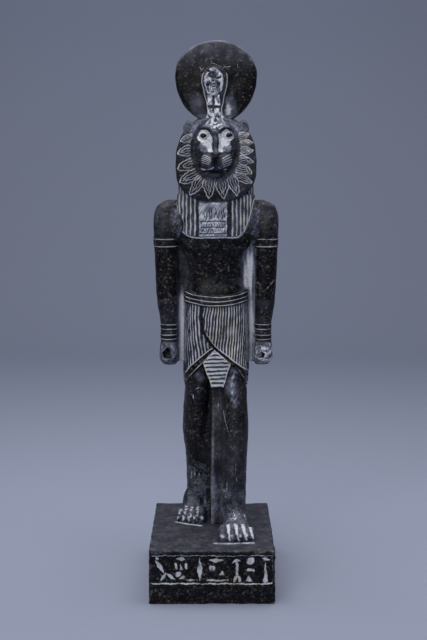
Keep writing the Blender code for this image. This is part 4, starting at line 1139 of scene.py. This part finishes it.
# %% Face forms
# (x, z, half width, half height, rise)
FORMS = [
    (-0.2, 212.8, 9.8, 8, 5), (-0.2, 225, 3, 11.5, 3.4), (-0.2, 216.6, 3.8, 2.6, 2.4),
    (-0.2, 212.8, 0.9, 3.6, -1.6), (-0.9, 207.1, 6.6, 1.4, -3.4), (-0.8, 204.9, 5.6, 2.3, 2.8),
    (-2.7, 216.4, 1.2, 0.9, -1.2), (1.9, 216.4, 1.2, 0.9, -1.2)]
for cx, *rest in ((4.8, 213.2, 4.6, 4.4, 2.4), (7, 232, 5.8, 2.6, 2.8), (7.3, 228, 4.6, 3.6, -2.2),
                  (7.3, 228, 3.2, 2.4, 3.8), (8, 220.5, 4.2, 6, 1.4), (3.1, 227, 1.4, 4.6, -1.2)):
    FORMS += [(cx, *rest), (-cx, *rest)]
shares = np.concatenate(([0.5, 1, 1], np.linspace(0.999, 0.015, 108)))[:, None]
x, z = dome(FACE, shares, 380, 2 / 2.4)
y = 3.5 - 5.5 * np.sqrt(patch(x, z, FACE[:2], FACE[2:4]))
for cx, cz, wide, high, rise in FORMS:
    y -= rise * patch(x, z, (cx, cz), (wide, high)) ** 1.2
y[:2] = 12
hx, hz = by_hand(x, z, 0.14)
print(len(FORMS), "forms on the face")

# %% [markdown]
# ## Eyes and nose
#
# Pale dust fills the eye rings and the bands beside the nose, and lies thinly on the cheeks below
# them. The pupils are small hollows of bare dark stone.

# %% Eyes and nose
# (pupil, ring's middle, ring's radii, band beside the nose as a path, cheek's middle)
EYES = (
    ((-7.3, 227.6), (-7.2, 227.6), (4.3, 3.6), ((-4, 227), (-3.7, 222), (-3.3, 218.4)), (-7, 221.2)),
    ((7.4, 228), (6.7, 227.8), (4.4, 3.6), ((2.9, 227.5), (2.7, 222), (2.6, 218)), (6, 220.8)))
white, pupils = np.zeros(x.shape), np.zeros(x.shape)
for pupil, ring, radii, band_path, cheek in EYES:
    whole = step(patch(hx, hz, ring, radii), 0, 0.3)
    down = line(away_from(hx, hz, bend(band_path, 8)), 1.1, 1.9)
    fill = 0.8 * step(patch(hx, hz, (cheek[0] * 0.88, 224), (3.2, 3.2)), 0, 0.5)
    thin = 0.58 * step(patch(hx, hz, cheek, (3.2, 4)), 0, 0.6)
    white = most(white, whole, down, fill, thin)
    pupils = np.maximum(pupils, patch(hx, hz, pupil, (2, 1.45)))
bridge = np.abs(hx + 0.3)
grey_bridge = 0.34 * (1 - step(bridge, 0.8, 1.3)) * within(z, 218.5, 226.5, 1.5)
white *= step(bridge, 1.3, 1.9) * (1 - step(pupils, 0, 0.25)) * step(hz, 217.2, 218.8)
white *= 1.02 + 0.2 * mottle(x, y, z, 1.2, 6, 91)
sunk = step(pupils, 0, 0.3)
y += 0.5 * sunk
lid_turns = np.linspace(0.3, 2.8, 9)
lids = cuts(hx, hz, [[(cx + 0.95 * rx * math.cos(t), cz + 1.02 * rz * math.sin(t)) for t in lid_turns]
                     for _, (cx, cz), (rx, rz), _, _ in EYES], 0.8, 12)
y += 0.4 * lids

# %% Whiskers, lips and forehead
WHISKERS = (
    ((-7.4, 216.5), (-5.4, 215.9), (-3, 214.7)), ((-7.9, 215.7), (-5.6, 214.9), (-3, 213.7)),
    ((-8.3, 214.7), (-5.8, 213.9), (-3.2, 212.8)), ((-8.5, 213.6), (-6, 212.9), (-3.5, 211.9)),
    ((-8.2, 212.3), (-6.2, 211.8), (-4.2, 211.2)),
    ((3.6, 214.6), (5.9, 216), (8.2, 216.8)), ((3.6, 213.2), (6.1, 214.7), (8.7, 215.6)),
    ((3.6, 212), (6.2, 213.4), (8.9, 214.3)), ((3.8, 210.9), (6.2, 212.1), (8.6, 213)),
    ((4.2, 209.9), (6.2, 210.9), (7.9, 211.7)))
LIPS = (
    (-8.6, 209), (-7, 208.3), (-4.2, 208.8), (-2, 209.4), (-0.4, 210.2), (1.2, 209.4), (3.3, 208.5),
    (5.8, 208.9))
FOREHEAD = (
    ((-6.4, 234.9), (-3.6, 233.2), (-0.5, 230.8), (2.8, 233.2), (5.9, 234.7)),
    ((-4.6, 236.2), (-2.2, 234.8), (-0.5, 233.2), (1.3, 234.8), (3.8, 236)))
SNEER = [[(HEAD_AXIS + side * a, b) for a, b in ((2.4, 218.4), (4.6, 217.8), (8, 219))]
         for side in (-1, 1)]
whisker = cuts(x, z, WHISKERS, 0.46, 6)
vees = cuts(hx, hz, FOREHEAD, 0.6, 8)
lip_line = cuts(hx, hz, [LIPS], 0.9, 20) * (0.66 + 0.3 * mottle(x, y, z, 1.5, 6, 94))
cut = most(whisker, lip_line, 0.62 * cuts(hx, hz, HAIRS, 0.45), 0.45 * cuts(hx, hz, SNEER, 0.5))
y += 0.3 * np.maximum(cut, vees)

# %% Face
brow = 1.2 * step(patch(x, z, (-0.5, 235.6), (6.4, 6.2)), 0, 0.6)
brow *= (0.62 + 0.5 * mottle(x, y, z, 0.9, 3.2, 92)) * (z > 229.6) * (1 - 0.85 * vees)
chin = 0.3 * patch(x, z, (-0.8, 204.6), (6, 2.4))
upper_lip = 0.4 * np.maximum(patch(x, z, (-3.4, 210), (2.6, 1.5)), patch(x, z, (2.7, 209.8), (2.4, 1.5)))
pads = 0.2 * np.maximum(patch(x, z, (-5.6, 213.6), (4, 4)), patch(x, z, (5.6, 213.6), (4, 4)))
dust = most(white, brow, chin, upper_lip, grey_bridge, brow_dust(x, z) * (1 - lids))
haze = (0.07 + 1.2 * pads) * (1 - sunk) * (1 - 0.8 * lids)
carved("face", np.stack((x, y, z), -1), cut, dust, haze)

# %% Ears
for side, word in SIDES:
    rings = ball((side * 15.8, 12, 232.2), (3.2, 3.2, 4.6), 30, 48)
    x, y, z = rings.transpose(2, 0, 1)
    hollow = patch(x, z, (side * 16.2, 233), (1.9, 2.6))
    y += 1.6 * hollow * (y < 12)
    lip = line(hollow - 0.15, 0.3) * (y < 12)
    fur = 0.3 + 0.3 * mottle(x, y, z, 1, 4, 93)
    carved(f"{word} ear", rings, 0.5 * lip, fur, 0.3)

# %% [markdown]
# ## Sun disc and cobra
#
# The disc above the head is a thick lens of stone, drawn in to a narrow foot. A cobra rears up
# in front of it with its hood spread.

# %% Sun disc
CHIPS = (
    ((-9.5, 267.3), (-8.2, 265.7), (-6.8, 266.8)), ((-2.1, 269.2), (0.4, 268.4), (3, 267.2)),
    ((-2.8, 270.4), (-2.7, 268.8)), ((3.4, 265.8), (4.7, 267.2), (6.4, 267), (8.2, 267.5)),
    ((12.3, 268.8), (12.5, 266.8)))
# (share of the outline, y), from the back round the rim to the middle of the front
levels = [(0.3, 21.4), (0.6, 21.3), (0.85, 20.9)]
half_turn = np.linspace(math.pi / 2, -math.pi / 2, 22)
levels += [(0.93 + 0.07 * math.cos(t), 17.5 + 3.1 * math.sin(t)) for t in half_turn]
levels += [(s, 13.5 + 0.9 * s ** 3) for s in np.linspace(0.92, 0.02, 40)]
shares, y = np.array(levels).T[:, :, None]
x, z = dome((0, 262.4, 23.7, 20.1, 27.4), shares, 320)
y = y + 0 * x
hx, hz = by_hand(x, z, 0.2)
right_pale = patch(hx, hz, (7.2, 242), (3.4, 9.6), 14) * (0.78 + 0.5 * mottle(x, y, z, 1.5, 7, 101))
foot_pale = 0.4 * within(z, 235, 239.4, 1.6)
# Haze grows over the disc's upper part and upper rim: painted top light from above, with some dust.
haze = 0.21 * step(z, 262, 281) + 0.2 * (y > 14.5) * step(z, 264, 279)
haze += 0.3 * patch(hx, hz, (-10.4, 244.6), (5.4, 9), 12)
haze += 0.34 * patch(hx, hz, (8.4, 242.6), (5.4, 10.6), 14)
haze *= 1 + 0.3 * mottle(x, y, z, 2, 12, 102)
chips = cuts(x, z, CHIPS, 0.6, 6) * (y < 15)
# The carving value over the top of the disc paints pale specks there: more painted top light.
carving = np.maximum(0.8 * chips, 0.3 * step(z, 272, 282))
dust = np.maximum(right_pale, foot_pale) * (y < 15)
carved("sun disc", np.stack((x, y + 0.15 * chips, z), -1), carving, dust, haze)

# %% Cobra sections
HOOD = (
    (229.5, -0.2, 8.6, 3.4, 16, 2.2), (233, -0.2, 8, 2, 16, 2.2),
    (236, -0.3, 6.6, 2.6, 16.5, 2.2), (240, -0.6, 4.8, 4.6, 17, 2.4),
    (247, -0.8, 5.5, 8, 17, 2.6), (253, -0.8, 7, 9.4, 17, 2.8),
    (259, -0.8, 7.9, 9.8, 17, 2.8), (263.5, -0.8, 7, 9.8, 17, 2.6),
    (266.4, -0.8, 4.6, 10.2, 17, 2.4), (267.6, -0.8, 2, 11, 17, 2.2))
# (x, z, half width, half height) of the hollows that draw its head and ribs
PITS = (
    (-1, 262.2, 2.8, 2.3), (2.2, 260.6, 2.4, 0.8), (-3.7, 256.4, 0.9, 1), (2.8, 256.6, 1.2, 1.6),
    (-0.2, 258.8, 0.7, 0.6), (-0.2, 257.2, 0.7, 0.6), (-0.2, 255.6, 0.65, 0.55), (-0.2, 254.1, 0.6, 0.5),
    (-0.2, 252.6, 0.5, 0.5), (-3.4, 264.4, 1.4, 0.5))
SCALES = [((-5.6 + k, 260.5 - 0.6 * abs(k - 4.2)), (-4.5 + 0.75 * k, 252.5))
          for k in (0.4, 1.6, 2.8, 5.6, 6.8, 8)]

# %% Cobra
rings = sections(HOOD, np.linspace(HOOD[0][0], HOOD[-1][0], 156), 200)
x, y, z = rings.transpose(2, 0, 1)
hx, hz = by_hand(x, z, 0.16)
centre, half = smoothed(HOOD, z[:, 0]).T[:2, :, None]
forward = y < 13.5
across = hx + 1.35
rim_line = line(np.abs(x - centre) - (half - 0.7), 0.62) * (z > 240) * (1 - 0.85 * step(z, 262.6, 264.6))
belly = patch(across, hz, (0, 258.4), (6.1, 8.6))
waist = within(np.abs(across + 0.1), 0.75, 3.5, 0.3) * within(hz, 239, 250.6, 0.8)
waist *= 1 - within(hz, 243.4, 244.8, 0.4)
crown = patch(across, hz, (0.2, 265.4), (4.6, 1.8))
fans = np.abs(np.sin(6.3 * (x - centre) / half + 0.15 * (z - 236))) * within(z, 231, 240.5, 1)
pits = most(*(patch(across, hz, (px, pz), (wide, high)) for px, pz, wide, high in PITS))
scales = cuts(hx, hz, SCALES, 0.34)
plain = np.maximum(step(belly, 0.06, 0.26), waist) * (1 - step(pits, 0.05, 0.4)) * (1 - 0.8 * scales)
raised = 1.6 * belly ** 0.7 + 0.8 * waist + 0.9 * crown + 0.6 * rim_line
rings[..., 1] -= forward * (raised - 0.9 * pits - 0.4 * scales - 0.35 * fans)
speckle = 0.78 + 0.36 * mottle(x, y, z, 1, 4.5, 111)
parting = cuts(hx, hz, [((-0.3, 234), (-0.5, 246))], 0.5)
base_fan = (0.45 + 0.55 * fans) * speckle * within(z, 231.5, 241, 1.5) * (1 - 0.8 * parting)
carved("cobra", rings, 0.92 * rim_line * forward, np.maximum(0.95 * plain * speckle, base_fan) * forward, 0.1)

# %% [markdown]
# ## Stone
#
# Granite is a tight mass of dark, brown and pale grains. The grain is a cell pattern in the
# object's own space, so it runs on from piece to piece. Its cells are 1 mm wide, as the eye
# sees single grains in the photograph. Brown and pale grains come in loose clusters, so a soft
# cloud is added to each grain's lot before the lot picks its tint.

# %% The granite's nodes
granite = bpy.data.materials.new("dark granite, polished and worn, dust in the cuts")
granite.use_nodes = True
tree = granite.node_tree
shader = tree.nodes["Principled BSDF"]


def node(kind, values=(), out=0, **settings):
    """Add a node to the granite's tree, set it and fill its sockets, and give back one output.

    The values or outputs that fill the sockets are named in a dictionary, or stand in order.
    """
    made = tree.nodes.new("ShaderNode" + kind)
    for name, value in settings.items():
        setattr(made, name, value)
    for socket, source in values.items() if isinstance(values, dict) else enumerate(values):
        if isinstance(source, bpy.types.NodeSocket):
            tree.links.new(source, made.inputs[socket])
        else:
            made.inputs[socket].default_value = source
    return made.outputs[out]


# %% Grains
place = node("TexCoord", out="Object")
cloud = node("TexNoise", {"Vector": place, "Scale": 210, "Detail": 3, "Roughness": 0.6}, "Fac")
wide = node("TexNoise", {"Vector": place, "Scale": 60, "Detail": 2}, "Fac")
fine = node("TexNoise", {"Vector": place, "Scale": 1300, "Detail": 3, "Roughness": 0.7}, "Fac")
grain = node("TexVoronoi", {"Vector": place, "Scale": 1000}, "Color")
lot = node("Math", (node("SeparateColor", {"Color": grain}, "Red"), 0.8), operation="MULTIPLY")
lot = node("Math", (cloud, 0.4, lot), operation="MULTIPLY_ADD")
TINTS = ((0.44, "#0D0E14"), (0.62, "#17171B"), (0.77, "#232123"), (0.87, "#302E2D"), (0.94, "#403B37"),
         (0.98, "#5A544C"))
stone = colour("#07080D")
for least, tint in TINTS:
    past = node("Math", (lot, least), operation="GREATER_THAN")
    stone = node("Mix", {0: past, 6: stone, 7: colour(tint)}, 2, data_type="RGBA")
print(len(tree.nodes), "shader nodes for the grains")

# %% [markdown]
# ## Haze and dust
#
# The haze is a thin film, a little thicker here and there, and on faces that look up it is also
# painted top light. Loose dust and the filling of the cuts have ragged edges: noise is added to
# each mask before its edge is taken. Thin dust looks blue-grey over the dark stone, and thick dust
# nearly white.

# %% Haze and dust
carving, dusty, haze = [node("Attribute", out="Fac", attribute_name=label)
                        for label in ("carving", "dust", "haze")]
# The haze film is dust, and on faces that look up it is also painted top light.
film = node("MapRange", {"Value": cloud, "From Min": 0.3, "From Max": 0.7, "To Min": 0.5, "To Max": 1.5})
film = node("Math", (film, haze), operation="MULTIPLY")
stone = node("Mix", {0: film, 6: stone, 7: colour("#9193A6")}, 2, data_type="RGBA")

unrest = node("Math", (cloud, 0.4, -0.55), operation="MULTIPLY_ADD")
unrest = node("Math", (fine, 0.7, unrest), operation="MULTIPLY_ADD")
masks = []
for value, low, high in ((carving, 0.4, 0.62), (dusty, 0.1, 0.92)):
    ragged = node("Math", (value, unrest), operation="ADD")
    masks.append(node("MapRange", {"Value": ragged, "From Min": low, "From Max": high}))
faded = node("Math", (carving, 0.6, 0.4), operation="MULTIPLY_ADD")
cut_mask = node("Math", (masks[0], faded), operation="MULTIPLY")
pale = node("Math", (cut_mask, masks[1]), operation="MAXIMUM")
pigment = colour("#687190")
for low, high, tint in ((0, 0.45, "#989FB8"), (0.45, 0.8, "#CCD1DD"), (0.8, 1, "#E9EBF0")):
    share = node("MapRange", {"Value": pale, "From Min": low, "From Max": high})
    pigment = node("Mix", {0: share, 6: pigment, 7: colour(tint)}, 2, data_type="RGBA")
warm = node("MapRange", {"Value": wide, "From Min": 0.44, "From Max": 0.62})
warm = node("Math", (warm, cut_mask), operation="MULTIPLY")
toned = {0: warm, 6: pigment, 7: colour("#F6ECD8")}
pigment = node("Mix", toned, 2, data_type="RGBA", blend_type="MULTIPLY")
cover = node("MapRange", {"Value": pale, "To Max": 0.9})
mixed = node("Mix", {0: cover, 6: stone, 7: pigment}, 2, data_type="RGBA")
tree.links.new(mixed, shader.inputs["Base Color"])

# %% [markdown]
# ## Gloss and pocks
#
# Polishing leaves a soft gloss, dust is matt, and the wear varies slowly. Fine pocks roughen the
# surface by a fifth of a millimetre at most.

# %% Gloss and pocks
matt = node("Math", (wide, 0.3, pale), operation="MULTIPLY_ADD")
matt = node("Math", (film, 1.5, matt), operation="MULTIPLY_ADD")
gloss = node("MapRange", {"Value": matt, "From Min": 0.1, "To Min": 0.36, "To Max": 0.85})
tree.links.new(gloss, shader.inputs["Roughness"])
shader.inputs["IOR"].default_value = 1.54
shader.inputs["Specular IOR Level"].default_value = 0.12
pocks = node("Bump", {"Height": fine, "Strength": 0.35, "Distance": 0.0002})
tree.links.new(pocks, shader.inputs["Normal"])
for piece in OBJECTS:
    piece.data.materials.append(granite)
print(len(tree.nodes), "shader nodes, one stone on", len(OBJECTS), "pieces")
